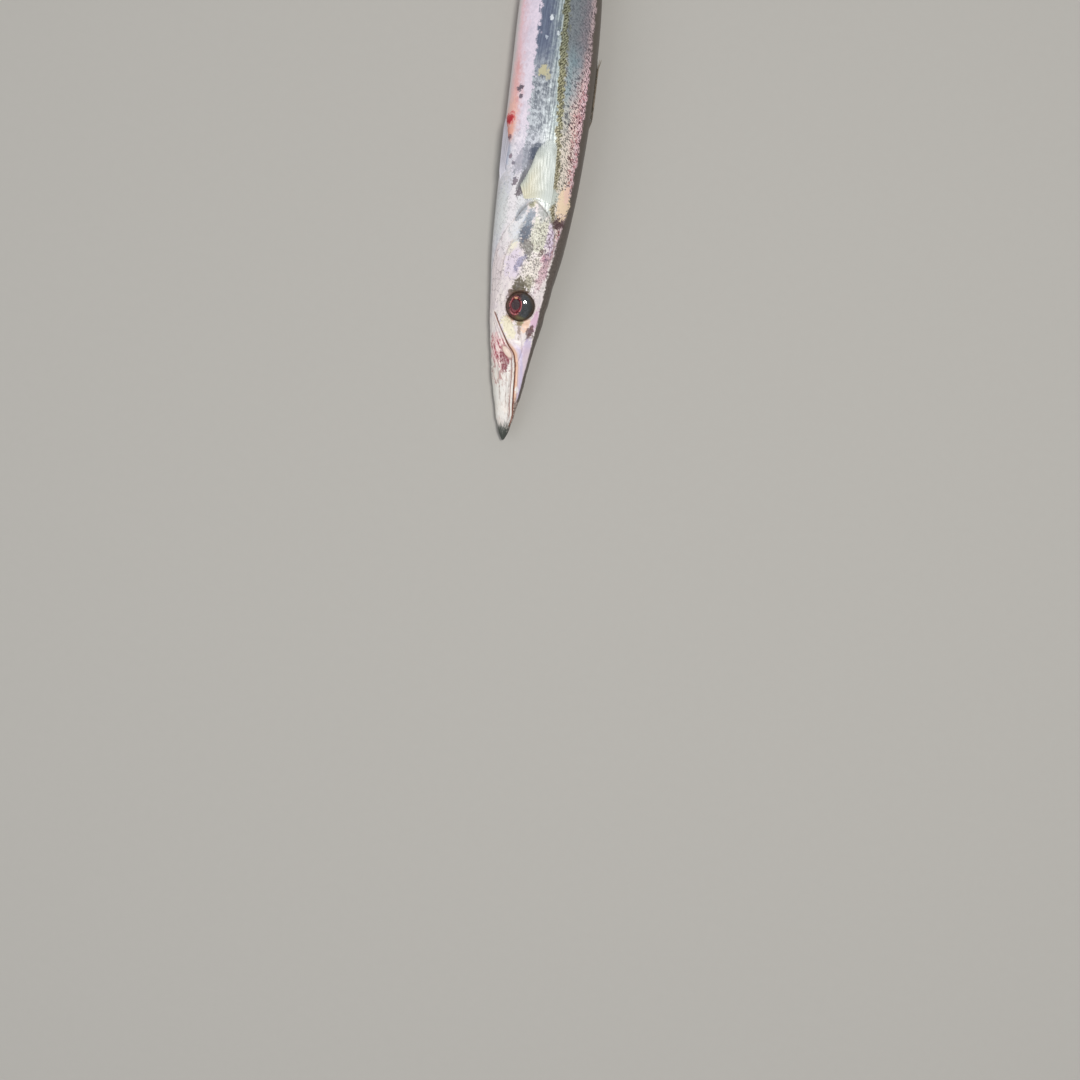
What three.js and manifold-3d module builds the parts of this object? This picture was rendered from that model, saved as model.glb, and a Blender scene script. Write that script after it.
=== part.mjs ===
// A small barracuda, as caught and laid down: it lies on its left side with its mouth closed,
// its pectoral and pelvic fins and its first dorsal fin folded against the body, and its second
// dorsal, anal and tail fins half spread.
//
// Millimetres. +Y runs from the jaws to the tail, +X from the belly to the back, and +Z out of the
// right side, which faces up. A station is a distance along the fish from the tip of the lower jaw,
// and "up" is a height from the body's long axis towards the back.
import * as THREE from "three";
import { mergeVertices } from "three/addons/utils/BufferGeometryUtils.js";
import Module from "manifold-3d";

const wasm = await Module();
wasm.setup();

// The body, station by station: how far the back and the belly stand from the long axis, half the
// width from side to side, the height of the long axis over the floor, and how square the section is
// towards the crown and the keel (2 is an ellipse).
const STATIONS = [
  { at: 0, back: 0.2, belly: 0.5, half: 0.5, level: 4.4, crown: 2.0, keel: 2.0 }, // lower jaw's tip
  { at: 3, back: 1.45, belly: 2.1, half: 1.7, level: 4.6, crown: 2.0, keel: 2.2 },
  { at: 9, back: 2.6, belly: 3.6, half: 2.6, level: 5.0, crown: 2.2, keel: 2.3 }, // snout's tip
  { at: 16, back: 4.1, belly: 5.3, half: 3.6, level: 5.5, crown: 2.4, keel: 2.3 },
  { at: 28, back: 5.8, belly: 8.0, half: 4.9, level: 6.3, crown: 2.6, keel: 2.3 },
  { at: 41, back: 8.3, belly: 10.2, half: 6.4, level: 7.2, crown: 2.8, keel: 2.1 },
  { at: 48, back: 9.3, belly: 11.0, half: 7.1, level: 7.7, crown: 2.8, keel: 2.1 }, // behind the eyes
  { at: 57, back: 10.7, belly: 12.0, half: 8.1, level: 8.3, crown: 2.7, keel: 2.0 },
  { at: 67, back: 12.4, belly: 12.8, half: 9.2, level: 8.9, crown: 2.4, keel: 2.0 },
  { at: 82, back: 14.0, belly: 13.4, half: 10.4, level: 9.9, crown: 2.2, keel: 2.1 }, // gill covers
  { at: 98, back: 15.0, belly: 13.7, half: 11.0, level: 10.5, crown: 2.2, keel: 2.2 },
  { at: 122, back: 15.5, belly: 14.0, half: 11.3, level: 10.8, crown: 2.2, keel: 2.2 },
  { at: 155, back: 14.8, belly: 14.0, half: 10.6, level: 10.1, crown: 2.2, keel: 2.2 },
  { at: 172, back: 12.7, belly: 12.7, half: 9.0, level: 8.5, crown: 2.1, keel: 2.1 },
  { at: 192, back: 9.3, belly: 9.5, half: 6.4, level: 5.9, crown: 2.0, keel: 2.0 },
  { at: 212, back: 7.1, belly: 7.2, half: 4.1, level: 3.6, crown: 2.0, keel: 2.0 }, // slenderest
  { at: 224, back: 7.3, belly: 7.4, half: 3.1, level: 2.7, crown: 2.0, keel: 2.0 },
  { at: 233, back: 8.4, belly: 8.5, half: 2.0, level: 2.2, crown: 2.0, keel: 2.0 }, // tail fin's root
];
const BODY_END = 233;

// Where the body is parted, and the gap that parts keep.
const GAP = 0.3;
const HEAD_END = 73;
const TRUNK_END = 196;
const SWAY_FROM = 110;
const TAIL_SWAY = -5;

// How the body's surface is divided: rings close together in the head and up to the gills, and
// wider apart behind them.
const TIP_RINGS = [0.35, 1.2];
const HEAD_RING = 2.6;
const GILL_REACH = 85;
const BODY_RING = 7;
const RING_SIDES = 30;
const FAR = 60; // past everything, for the blocks that cut

// The mouth, from the upper jaw's tip back under the eye: [station, up].
const MOUTH = [
  [5.2, 1.5],
  [9.5, 2.0],
  [16.8, 1.5],
  [23, 1.2],
  [27.5, 0.6],
  [30.3, -0.3],
  [33, -2.6],
  [36.2, -4.5],
  [39.4, -6.4],
  [43.5, -8.6],
];
const JAW_HINGE = [45.2, -9.6];
const MOUTH_SLIT = 0.35;
const LIP_RADIUS = 0.45;
const LIP_SUNK = 0.12;
const LIP_STEPS = [6, 18]; // of the mouth line's steps, the ones between which the lips are raised
const MOUTH_STEPS = 30;

// The long plate of the upper jaw that overlaps the corner of the mouth: [station, up].
const MAXILLA = [
  [27.5, 1.6],
  [33, 2.4],
  [40, -0.6],
  [44.2, -7.6],
  [39.4, -6.2],
  [36, -4.3],
  [33.4, -2.3],
  [31, 0.2],
];
const PLATE_RISE = 0.35;
const PLATE_ROOT = 1;

// The eyes: a low dome outwards and a deeper bowl inwards, set square to the flank.
const EYE_AT = 46.4;
const EYE_UP = 0;
const EYE_RADIUS = 5.15;
const EYE_DOME = 1.3;
const EYE_BOWL = 3.0;
const EYE_REACH = 7.55;
const ORBIT_RADIUS = 5.4;
const ORBIT_RING = 0.5;
const ORBIT_SUNK = 0.15;

// Nostrils in front of the eye: [station, up, radius].
const NOSTRILS = [
  [37.2, 4.5, 0.5],
  [39.6, 5.0, 0.65],
];
const NOSTRIL_LIFT = 0.1;
const NOSTRIL_DEPTH = 0.9;

// The gill cover's edge, round from its top corner by its hind point and throat: [station, up].
const GILL_COVER = [
  [59.5, 6.6],
  [66, 8.7],
  [72.5, 8.6],
  [77.8, 5.8],
  [81.3, 0.5],
  [79.2, -4.2],
  [74, -8.2],
  [66.5, -10.8],
  [56.5, -10],
  [54.8, -6.6],
  [57.2, -1.6],
  [57.4, 3.2],
];
const COVER_SKIN = 1.1;
const COVER_POINTS = 44;
// The preopercle's edge, a groove down the gill cover and forward along its foot: [station, up].
const PREOPERCLE = [
  [65.5, 6.4],
  [68.6, 2.2],
  [68.8, -2.6],
  [66.4, -6.4],
  [60.5, -8.4],
];
const GROOVE_RADIUS = 0.55;
const GROOVE_SUNK = 0.4;

// Every fin is a sheet that thins towards its edge, with its rays raised on both faces.
const MEMBRANE = 0.5;
const MEMBRANE_EDGE = 0.36;
const RAY_RIDGE = 0.4;
const FIN_HALF = (MEMBRANE + RAY_RIDGE) / 2;
const RAY_HALF_WIDTH = 0.2;
const RAY_TAPER = 0.7;
const FIN_ROWS = 4;
const EDGE_NOTCH = 0.035;

// Each fin on the body's edge: its rays, where its root starts and ends, how deep it is rooted
// before it is cut clear of the body, the length of its first and last ray, how the rays shorten
// from first to last, the slant of the first and last ray in degrees, and how far they bow outwards.
const FOLDED_DORSAL = {
  rays: 5, from: 109, to: 125, root: 1.5, first: 26, last: 11.5, fade: 1.3, lean: [0.6, -0.6], bow: 1.2,
};
const SOFT_DORSAL = {
  rays: 10, from: 165, to: 189, root: 1.5, first: 21.5, last: 11, fade: 0.42, lean: [44, 14], bow: 0.8,
};
const ANAL = {
  rays: 9, from: 169, to: 191, root: 1.5, first: 20.5, last: 10.5, fade: 0.42, lean: [44, 14], bow: 0.8,
};
const LEAN_FADE = 0.7;
const FIN_DROOP = 0.008;
const TAIL_LOBE = { rays: 9, root: 0, first: 44, last: 14, fade: 0.5, lean: [25, 3], bow: 0 };
const TAIL_SPLIT = GAP / 2;
const TAIL_TIP_LEVEL = 0.75;
const TAIL_SETTLE = 0.7; // the share of its length in which the tail fin sinks to the floor

// The folded fins on the flanks: root and tips as [station, up], or for the pelvic fins as
// [station, degrees round the body from the belly's edge], and how far the tips stand off the skin.
const PECTORAL = {
  rays: 9,
  root: [[82.2, 4.7], [82.9, -3.6]],
  tips: [[101.5, 5.0], [103.6, 2.8], [99.6, -0.6], [92.4, -2.6], [87, -4.6]],
  lift: 1.5,
};
const PELVIC = {
  rays: 6,
  root: [[88, 18], [91, 34]],
  tips: [[107, 17], [110.5, 24], [101, 40]],
  lift: 0.4,
};

const SILVER = 0xb9bcc4;
const CREAM = 0xe3dbd8;
const DUSKY = 0x6a6c68;
const DARK_RED = 0x3a1f26;
const PALE_YELLOW = 0xd9d6bd;
const YELLOW_OLIVE = 0xa39a6c;

// A smooth curve through one of the body's sizes, station by station.
function profile(size) {
  const slope = (i) => {
    const a = STATIONS[Math.max(i - 1, 0)];
    const b = STATIONS[Math.min(i + 1, STATIONS.length - 1)];
    return (b[size] - a[size]) / (b.at - a.at);
  };
  return (at) => {
    const last = STATIONS.length - 2;
    const i = Math.min(Math.max(STATIONS.findLastIndex((s) => s.at <= at), 0), last);
    const [a, b] = [STATIONS[i], STATIONS[i + 1]];
    const step = b.at - a.at;
    const t = THREE.MathUtils.clamp((at - a.at) / step, 0, 1);
    return (
      a[size] * (2 * t ** 3 - 3 * t ** 2 + 1) +
      b[size] * (3 * t ** 2 - 2 * t ** 3) +
      step * (slope(i) * (t ** 3 - 2 * t ** 2 + t) + slope(i + 1) * (t ** 3 - t ** 2))
    );
  };
}

const back = profile("back");
const belly = profile("belly");
const half = profile("half");
const level = profile("level");
const crown = profile("crown");
const keel = profile("keel");

// The sideways curve of the tail, towards the belly.
function sway(at) {
  const along = Math.max(0, (at - SWAY_FROM) / (BODY_END - SWAY_FROM));
  return TAIL_SWAY * along ** 2;
}

// The middle of a section between back and belly.
function middle(at) {
  return (back(at) - belly(at)) / 2;
}

// A point of the skin, grown outwards: angle 0 is the back, 90 the right side and 180 the belly.
function skin(at, degrees, grow = 0) {
  const angle = THREE.MathUtils.degToRad(degrees);
  const [up, out] = [Math.cos(angle), Math.sin(angle)];
  const power = 2 / (up > 0 ? crown(at) : keel(at));
  const reach = (back(at) + belly(at)) / 2 + grow;
  return new THREE.Vector3(
    middle(at) + Math.sign(up) * Math.abs(up) ** power * reach + sway(at),
    at,
    level(at) + Math.sign(out) * Math.abs(out) ** power * (half(at) + grow),
  );
}

// A point of one flank (side 1 is the right one, -1 the left) at a height from the long axis.
function onFlank(at, up, side, lift = 0) {
  const square = up > middle(at) ? crown(at) : keel(at);
  const share = Math.abs(up - middle(at)) / ((back(at) + belly(at)) / 2);
  const bulge = half(at) * (1 - Math.min(share, 1) ** square) ** (1 / square);
  return new THREE.Vector3(up + sway(at), at, level(at) + side * (bulge + lift));
}

// A three.js geometry as a solid that can be joined and cut, facing outwards.
function solid(geometry) {
  const bare = geometry.clone();
  bare.deleteAttribute("normal");
  bare.deleteAttribute("uv");
  const merged = mergeVertices(bare, 1e-4);
  const vertProperties = new Float32Array(merged.attributes.position.array);
  const triVerts = new Uint32Array(merged.index.array);
  const made = new wasm.Manifold(new wasm.Mesh({ numProp: 3, vertProperties, triVerts }));
  if (made.volume() > 0) return made;
  triVerts.reverse();
  return new wasm.Manifold(new wasm.Mesh({ numProp: 3, vertProperties, triVerts }));
}

// The largest closed surface of a solid, as a geometry.
function geometryOf(made) {
  const pieces = made.decompose().sort((a, b) => b.volume() - a.volume());
  const mesh = pieces[0].getMesh();
  const geometry = new THREE.BufferGeometry();
  geometry.setAttribute("position", new THREE.BufferAttribute(mesh.vertProperties, 3));
  geometry.setIndex(new THREE.BufferAttribute(mesh.triVerts, 1));
  geometry.computeVertexNormals();
  return geometry;
}

// The whole body in one, grown outwards: a ball whose rings are laid along the fish.
function bodySolid(grow = 0) {
  const rings = [0, ...TIP_RINGS];
  while (rings.at(-1) < BODY_END - 1) {
    rings.push(rings.at(-1) + (rings.at(-1) < GILL_REACH ? HEAD_RING : BODY_RING));
  }
  rings.splice(-1, 1, BODY_END, BODY_END);
  const ball = new THREE.SphereGeometry(1, RING_SIDES, rings.length - 1);
  const { position } = ball.attributes;
  for (let i = 0; i < position.count; i++) {
    const ring = Math.floor(i / (RING_SIDES + 1));
    const at = rings[ring];
    const degrees = (360 / RING_SIDES) * (i % (RING_SIDES + 1));
    const pole = ring === 0 || ring === rings.length - 1;
    const axis = new THREE.Vector3(middle(at) + sway(at), at, level(at));
    const point = pole ? axis : skin(at, degrees % 360, grow);
    const end = at === 0 ? -grow : grow * (at === BODY_END);
    position.setXYZ(i, point.x, at + end, point.z);
  }
  return solid(ball);
}

// A slab with an outline drawn from the side of the fish, widened all round by `grow`.
function slab(outline, { low = -FAR, high = FAR, grow = 0, curvePoints = 0 } = {}) {
  const points = outline.map(([at, up]) => new THREE.Vector2(up + sway(at), at));
  const curve = new THREE.SplineCurve([...points, points[0]]);
  const shape = new THREE.Shape(curvePoints ? curve.getPoints(curvePoints) : points);
  const offset = { bevelEnabled: grow !== 0, bevelOffset: grow, bevelSize: 0, bevelThickness: 0.01 };
  const extruded = new THREE.ExtrudeGeometry(shape, { depth: high - low, bevelSegments: 1, ...offset });
  extruded.translate(0, 0, low);
  return solid(extruded);
}

// A round bar of one radius along a line of points.
function bar(points, radius, steps, sides = 6) {
  const section = new THREE.Shape().absarc(0, 0, radius, 0, 2 * Math.PI);
  const extrudePath = new THREE.CatmullRomCurve3(points);
  return solid(new THREE.ExtrudeGeometry(section, { extrudePath, steps, curveSegments: sides }));
}

// A small ball, stretched to a depth across the flank.
function bead(centre, radius, depth) {
  const ball = new THREE.SphereGeometry(1, 8, 4);
  ball.rotateX(Math.PI / 2);
  ball.scale(radius, radius, depth);
  ball.translate(centre.x, centre.y, centre.z);
  return solid(ball);
}

// A thin closed sheet over columns and rows, with both faces split into triangles alike.
function sheet(columns, rows, place) {
  const wide = columns + 1;
  const count = wide * (rows + 1);
  const grid = [...new THREE.PlaneGeometry(1, 1, columns, rows).index.array];
  const points = [1, -1].flatMap((side) =>
    Array.from({ length: count }, (_, i) => place(i % wide, Math.floor(i / wide) / rows, side)),
  );
  const index = [...grid, ...grid.toReversed().map((i) => i + count)];
  const rim = [];
  for (let row = 0; row < rows; row++) rim.push(row * wide);
  for (let column = 0; column < columns; column++) rim.push(rows * wide + column);
  for (let row = rows; row > 0; row--) rim.push(row * wide + columns);
  for (let column = columns; column > 0; column--) rim.push(column);
  rim.forEach((p, i) => {
    const q = rim[(i + 1) % rim.length];
    index.push(q, p, p + count, q, p + count, q + count);
  });
  const geometry = new THREE.BufferGeometry().setFromPoints(points);
  geometry.setIndex(index);
  return solid(geometry);
}

// A fin with its rays raised on both faces. `along` gives the station and height of a point at a
// share across the fin and out along its rays, and `lay` sets such a point in space with a lift.
function fin(rays, along, lay, extra = 0) {
  const columns = [{ across: 0, ridge: 0 }];
  for (let ray = 0; ray < rays; ray++) {
    const across = (ray + 0.5) / rays;
    columns.push({ across: across - RAY_HALF_WIDTH / rays, ridge: 0 });
    columns.push({ across, ridge: 1 });
    columns.push({ across: across + RAY_HALF_WIDTH / rays, ridge: 0 });
  }
  columns.push({ across: 1, ridge: 0 });
  return sheet(columns.length - 1, FIN_ROWS, (column, out, side) => {
    const { across, ridge } = columns[column];
    const membrane = THREE.MathUtils.lerp(MEMBRANE, MEMBRANE_EDGE, out);
    const thickness = membrane + ridge * RAY_RIDGE * (1 - out) ** RAY_TAPER;
    const notch = 1 - EDGE_NOTCH * (1 - ridge) * out;
    return lay(along(across, out * notch), side * (thickness / 2 + extra));
  });
}

// The rays of a fin that stands on the body's edge: `foot` gives a root point, and `sign` is 1 on
// the back and -1 on the belly.
function standing({ root, first, last, fade, lean, bow }, foot, sign) {
  return (across, out) => {
    const [at, up] = foot(across);
    const length = last + (first - last) * (1 - across) ** (1 / fade);
    const slant = THREE.MathUtils.degToRad(THREE.MathUtils.lerp(...lean, across ** LEAN_FADE));
    const reach = (length + root) * out - root;
    const rise = Math.sin(slant) * reach + bow * (1 - (1 - out) ** 2);
    return [at + Math.cos(slant) * reach, up + sign * rise];
  };
}

// A point in the fish's middle plane, from which a fin sinks a little towards the floor as it
// leaves the body, set out of it by a lift.
function inPlane([at, up], lift) {
  const clear = Math.max(0, up > 0 ? up - back(at) : -up - belly(at));
  return new THREE.Vector3(up + sway(at), at, level(at) - FIN_DROOP * clear ** 2 + lift);
}

// The tail fin's plane sinks from the body's end to the floor, and follows the curve of the tail.
function inTailPlane([at, up], lift) {
  const past = Math.max(0, at - BODY_END);
  const drift = (2 * TAIL_SWAY * past) / (BODY_END - SWAY_FROM);
  const settled = Math.min(1, past / (TAIL_SETTLE * TAIL_LOBE.first));
  const height = THREE.MathUtils.lerp(level(BODY_END), TAIL_TIP_LEVEL, settled);
  return new THREE.Vector3(up + TAIL_SWAY + drift, at, height + lift);
}

// The rays of a fin that grows on the flank, fanned between a root line and a line of tips.
function fanned({ root, tips }) {
  const vectors = (list) => list.map(([at, up]) => new THREE.Vector2(at, up));
  const foot = new THREE.SplineCurve(vectors(root));
  const end = new THREE.SplineCurve(vectors(tips));
  return (across, out) => {
    const point = foot.getPoint(across).lerp(end.getPoint(across), out);
    return [point.x, point.y, out];
  };
}

// Everything under the floor is cut away, which leaves flats where the flesh rests.
function aboveFloor(made) {
  const floor = new THREE.BoxGeometry(600, 900, FAR);
  floor.translate(0, 0, -FAR / 2);
  return made.subtract(solid(floor));
}

const whole = bodySolid();
const clearOfBody = bodySolid(GAP);

// Stations from one cut to the next, as a slab across the whole body.
function length(from, to) {
  return slab([[from, -FAR], [from, FAR], [to, FAR], [to, -FAR]]);
}

// The gill covers lie in shallow pockets over the back of the head and the front of the trunk.
const coverShell = bodySolid(PLATE_RISE).subtract(bodySolid(-COVER_SKIN));
const coverBed = bodySolid(-COVER_SKIN - GAP);
const coverMiddle = level(HEAD_END);
const pockets = slab(GILL_COVER, { grow: GAP, curvePoints: COVER_POINTS }).subtract(coverBed);

function gillCover(side) {
  const range = side > 0 ? { low: coverMiddle } : { high: coverMiddle };
  const cover = coverShell.intersect(slab(GILL_COVER, { ...range, curvePoints: COVER_POINTS }));
  const lift = PLATE_RISE + GROOVE_RADIUS - GROOVE_SUNK;
  const groove = PREOPERCLE.map(([at, up]) => onFlank(at, up, side, lift));
  return cover.subtract(bar(groove, GROOVE_RADIUS, 14));
}

function eyeball(side, sides, grow = 0) {
  const ball = new THREE.SphereGeometry(1, sides, sides / 2);
  ball.rotateX((side * Math.PI) / 2);
  const { position } = ball.attributes;
  for (let i = 0; i < position.count; i++) {
    const depth = side * position.getZ(i) > 0 ? EYE_DOME : EYE_BOWL;
    position.setZ(i, position.getZ(i) * (depth + grow));
  }
  ball.scale(EYE_RADIUS + grow, EYE_RADIUS + grow, 1);
  const [fore, hind] = [-EYE_RADIUS, EYE_RADIUS].map((step) => onFlank(EYE_AT + step, EYE_UP, side));
  ball.rotateX(Math.atan2(hind.z - fore.z, hind.y - fore.y));
  ball.translate(EYE_UP, EYE_AT, level(EYE_AT) + side * (EYE_REACH - EYE_DOME));
  return solid(ball);
}

// The mouth line in even steps, moved up or down.
function mouthLine(shift) {
  const curve = new THREE.SplineCurve(MOUTH.map(([at, up]) => new THREE.Vector2(at, up + shift)));
  return curve.getPoints(MOUTH_STEPS).map((point) => [point.x, point.y]);
}

// All on the lower jaw's side of the mouth, drawn from the side of the fish: in front of the upper
// jaw's tip it takes in the whole snout, and behind the hinge it ends across the throat.
function lowerJawSide(shift) {
  const front = [[-FAR, 4], [2, 3 + shift]];
  const hinge = [[JAW_HINGE[0] + shift, JAW_HINGE[1]], [JAW_HINGE[0] + 2 + shift, -FAR]];
  return [...front, ...mouthLine(shift), ...hinge, [-FAR, -FAR]];
}

// A raised ring round the eye, bent to the flank it stands on.
function orbitRim(side) {
  const ring = new THREE.TorusGeometry(ORBIT_RADIUS, ORBIT_RING, 6, 24);
  const { position } = ring.attributes;
  for (let i = 0; i < position.count; i++) {
    const at = EYE_AT + position.getY(i);
    const point = onFlank(at, EYE_UP + position.getX(i), side, position.getZ(i) - ORBIT_SUNK);
    position.setXYZ(i, point.x, point.y, point.z);
  }
  return solid(ring);
}

// A lip: jaw is 1 for the upper one and -1 for the lower one.
function lip(side, jaw) {
  const line = mouthLine(jaw * (MOUTH_SLIT / 2 + LIP_RADIUS + LIP_SUNK)).slice(...LIP_STEPS);
  const points = line.map(([at, up]) => onFlank(at, up, side, -LIP_SUNK));
  return bar(points, LIP_RADIUS, 12, 3);
}

function head() {
  const plateShell = bodySolid(PLATE_RISE).subtract(bodySolid(-PLATE_ROOT));
  const plates = plateShell.intersect(slab(MAXILLA, { curvePoints: 20 }));
  let made = whole.intersect(length(-5, HEAD_END)).add(plates);
  for (const side of [1, -1]) {
    made = made.add(lip(side, 1)).add(orbitRim(side));
    made = made.subtract(eyeball(side, 24, GAP));
    for (const [at, up, radius] of NOSTRILS) {
      made = made.subtract(bead(onFlank(at, up, side, NOSTRIL_LIFT), radius, NOSTRIL_DEPTH));
    }
  }
  return made.subtract(slab(lowerJawSide(MOUTH_SLIT / 2))).subtract(pockets);
}

function lowerJaw() {
  const lips = lip(1, -1).add(lip(-1, -1));
  return whole.add(lips).intersect(slab(lowerJawSide(-MOUTH_SLIT / 2))).subtract(pockets);
}

function pectoral(side, extra = 0) {
  const along = fanned(PECTORAL);
  const lay = ([at, up, out], lift) => {
    const point = onFlank(at, up, side, GAP + FIN_HALF + PECTORAL.lift * out);
    point.z = Math.max(point.z, FIN_HALF);
    point.z += lift;
    return point;
  };
  return fin(PECTORAL.rays, along, lay, extra);
}

function pelvic(side) {
  const along = fanned(PELVIC);
  const lay = ([at, spread, out], lift) => {
    return skin(at, side * (180 - spread), GAP + FIN_HALF + PELVIC.lift * out + lift);
  };
  return fin(PELVIC.rays, along, lay);
}

function edgeFin(size, sign) {
  const edge = sign > 0 ? back : belly;
  const foot = (across) => {
    const at = THREE.MathUtils.lerp(size.from, size.to, across);
    return [at, sign * edge(at)];
  };
  return fin(size.rays, standing(size, foot, sign), inPlane).subtract(clearOfBody);
}

function tailLobe(sign) {
  const reach = sign > 0 ? back(BODY_END) : belly(BODY_END);
  const foot = (across) => [BODY_END + GAP, sign * THREE.MathUtils.lerp(reach, TAIL_SPLIT, across)];
  return fin(TAIL_LOBE.rays, standing(TAIL_LOBE, foot, sign), inTailPlane);
}

// The left pectoral fin is pressed into the flank that the fish lies on.
const leftFinBed = pectoral(-1, GAP);
const trunk = whole.intersect(length(HEAD_END + GAP, TRUNK_END)).subtract(pockets).subtract(leftFinBed);

const parts = {
  head: [head(), SILVER],
  lower_jaw: [lowerJaw(), CREAM],
  eye_right: [eyeball(1, 20), DARK_RED],
  eye_left: [eyeball(-1, 20), DARK_RED],
  gill_cover_right: [gillCover(1), SILVER],
  gill_cover_left: [gillCover(-1), SILVER],
  trunk: [trunk, SILVER],
  tail: [whole.intersect(length(TRUNK_END + GAP, BODY_END + 5)), SILVER],
  pectoral_fin_right: [pectoral(1), PALE_YELLOW],
  pectoral_fin_left: [pectoral(-1), PALE_YELLOW],
  pelvic_fin_right: [pelvic(1), CREAM],
  pelvic_fin_left: [pelvic(-1), CREAM],
  first_dorsal_fin: [edgeFin(FOLDED_DORSAL, 1), DUSKY],
  second_dorsal_fin: [edgeFin(SOFT_DORSAL, 1), YELLOW_OLIVE],
  anal_fin: [edgeFin(ANAL, -1), PALE_YELLOW],
  tail_fin_upper: [tailLobe(1), YELLOW_OLIVE],
  tail_fin_lower: [tailLobe(-1), YELLOW_OLIVE],
};

const fish = new THREE.Group();
for (const [name, [made, color]] of Object.entries(parts)) {
  const eye = name.startsWith("eye");
  const finish = { color, roughness: eye ? 0.1 : 0.35, metalness: eye ? 0 : 0.3 };
  const mesh = new THREE.Mesh(geometryOf(aboveFloor(made)), new THREE.MeshStandardMaterial(finish));
  mesh.name = name;
  fish.add(mesh);
}

// The origin is on the floor, under the middle of the fish.
const box = new THREE.Box3().setFromObject(fish);
const centre = box.getCenter(new THREE.Vector3());
fish.position.set(-centre.x, -centre.y, -box.min.z);

export default fish;
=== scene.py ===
"""A small barracuda, as caught and laid down on its left side.

Lengths inside the script are millimetres. A station is a distance along the fish from the tip of
the lower jaw, "up" is a height from the body's long axis towards the back, and an angle round the
body is 0 at the back, 90 on the right side, which faces up, and 180 at the belly.
"""

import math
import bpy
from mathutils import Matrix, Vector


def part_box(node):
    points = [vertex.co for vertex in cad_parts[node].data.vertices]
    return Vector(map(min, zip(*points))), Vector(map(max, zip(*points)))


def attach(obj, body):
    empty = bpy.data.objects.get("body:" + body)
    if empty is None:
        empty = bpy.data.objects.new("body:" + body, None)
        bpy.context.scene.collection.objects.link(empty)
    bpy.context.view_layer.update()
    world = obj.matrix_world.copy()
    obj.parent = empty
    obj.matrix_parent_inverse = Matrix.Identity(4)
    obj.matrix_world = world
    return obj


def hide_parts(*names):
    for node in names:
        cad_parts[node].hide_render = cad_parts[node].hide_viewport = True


bl_info = {
    "name": "Barracuda",
    "version": (1, 0, 0),
    "blender": (4, 5, 0),
    "location": "View3D > Sidebar > Barracuda",
    "description": "A life-size small barracuda lying on its left side",
    "category": "Add Mesh",
}

from types import SimpleNamespace

import bpy
import numpy as np
from bpy.props import FloatProperty, FloatVectorProperty, IntProperty, PointerProperty
from mathutils import Matrix, Vector

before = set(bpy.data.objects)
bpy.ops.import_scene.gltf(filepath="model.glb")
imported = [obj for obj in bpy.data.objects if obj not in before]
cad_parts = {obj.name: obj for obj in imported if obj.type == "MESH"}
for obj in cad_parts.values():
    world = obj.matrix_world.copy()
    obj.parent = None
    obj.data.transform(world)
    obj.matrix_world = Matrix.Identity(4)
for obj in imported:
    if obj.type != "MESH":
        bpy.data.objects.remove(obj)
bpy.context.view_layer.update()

MM = 0.001

# The body, station by station: how far the back and the belly stand from the long axis, half the
# width from side to side, the height of the long axis over the floor, and how square the section is
# towards the crown and the keel.
AT, BACK, BELLY, HALF, LEVEL, CROWN, KEEL = range(7)
STATIONS = np.array([
    (0, 0.2, 0.5, 0.5, 4.4, 2.0, 2.0),
    (3, 1.45, 2.1, 1.7, 4.6, 2.0, 2.2),
    (9, 2.6, 3.6, 2.6, 5.0, 2.2, 2.3),
    (16, 4.1, 5.3, 3.6, 5.5, 2.4, 2.3),
    (28, 5.8, 8.0, 4.9, 6.3, 2.6, 2.3),
    (41, 8.3, 10.2, 6.4, 7.2, 2.8, 2.1),
    (48, 9.3, 11.0, 7.1, 7.7, 2.8, 2.1),
    (57, 10.7, 12.0, 8.1, 8.3, 2.7, 2.0),
    (67, 12.4, 12.8, 9.2, 8.9, 2.4, 2.0),
    (82, 14.0, 13.4, 10.4, 9.9, 2.2, 2.1),
    (98, 15.0, 13.7, 11.0, 10.5, 2.2, 2.2),
    (122, 15.5, 14.0, 11.3, 10.8, 2.2, 2.2),
    (155, 14.8, 14.0, 10.6, 10.1, 2.2, 2.2),
    (172, 12.7, 12.7, 9.0, 8.5, 2.1, 2.1),
    (192, 9.3, 9.5, 6.4, 5.9, 2.0, 2.0),
    (212, 7.1, 7.2, 4.1, 3.6, 2.0, 2.0),
    (224, 7.3, 7.4, 3.1, 2.7, 2.0, 2.0),
    (233, 8.4, 8.5, 2.0, 2.2, 2.0, 2.0),
])
TRUNK_END = 196
TAIL_ROOT = 233
SWAY_FROM = 110
TAIL_SWAY = -5
WEDGE_FROM, WEDGE_THIN_FROM = 220, 237  # the flesh thins into a wedge over the tail fin's root
WEDGE_HALF = 0.5
WEDGE_SPREAD = 0.25  # how much the wedge widens with each millimetre past the root
WEDGE_SINKS = 0.047  # how much it sinks towards the floor with each millimetre
ROUNDED_FROM = 235.5
FLESH_END = 241.5
NOSE_ROUNDED = 0.5  # the blunt tip of the lower jaw is rounded over this length
ENDS_CLOSED = 0.998  # how nearly the rounded ends close before their poles
FLOOR_CLEAR = 0.02  # how far the scales and the eyes stay over the floor

EYE_AT = 46.4
EYE_UP = 0.0
EYE_LOW, EYE_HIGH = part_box("eye_right")
ORIGIN = np.array([
    (EYE_LOW.x + EYE_HIGH.x) / 2 - EYE_UP * MM,
    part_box("trunk")[1].y - TRUNK_END * MM,
    0.0,
])

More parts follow.
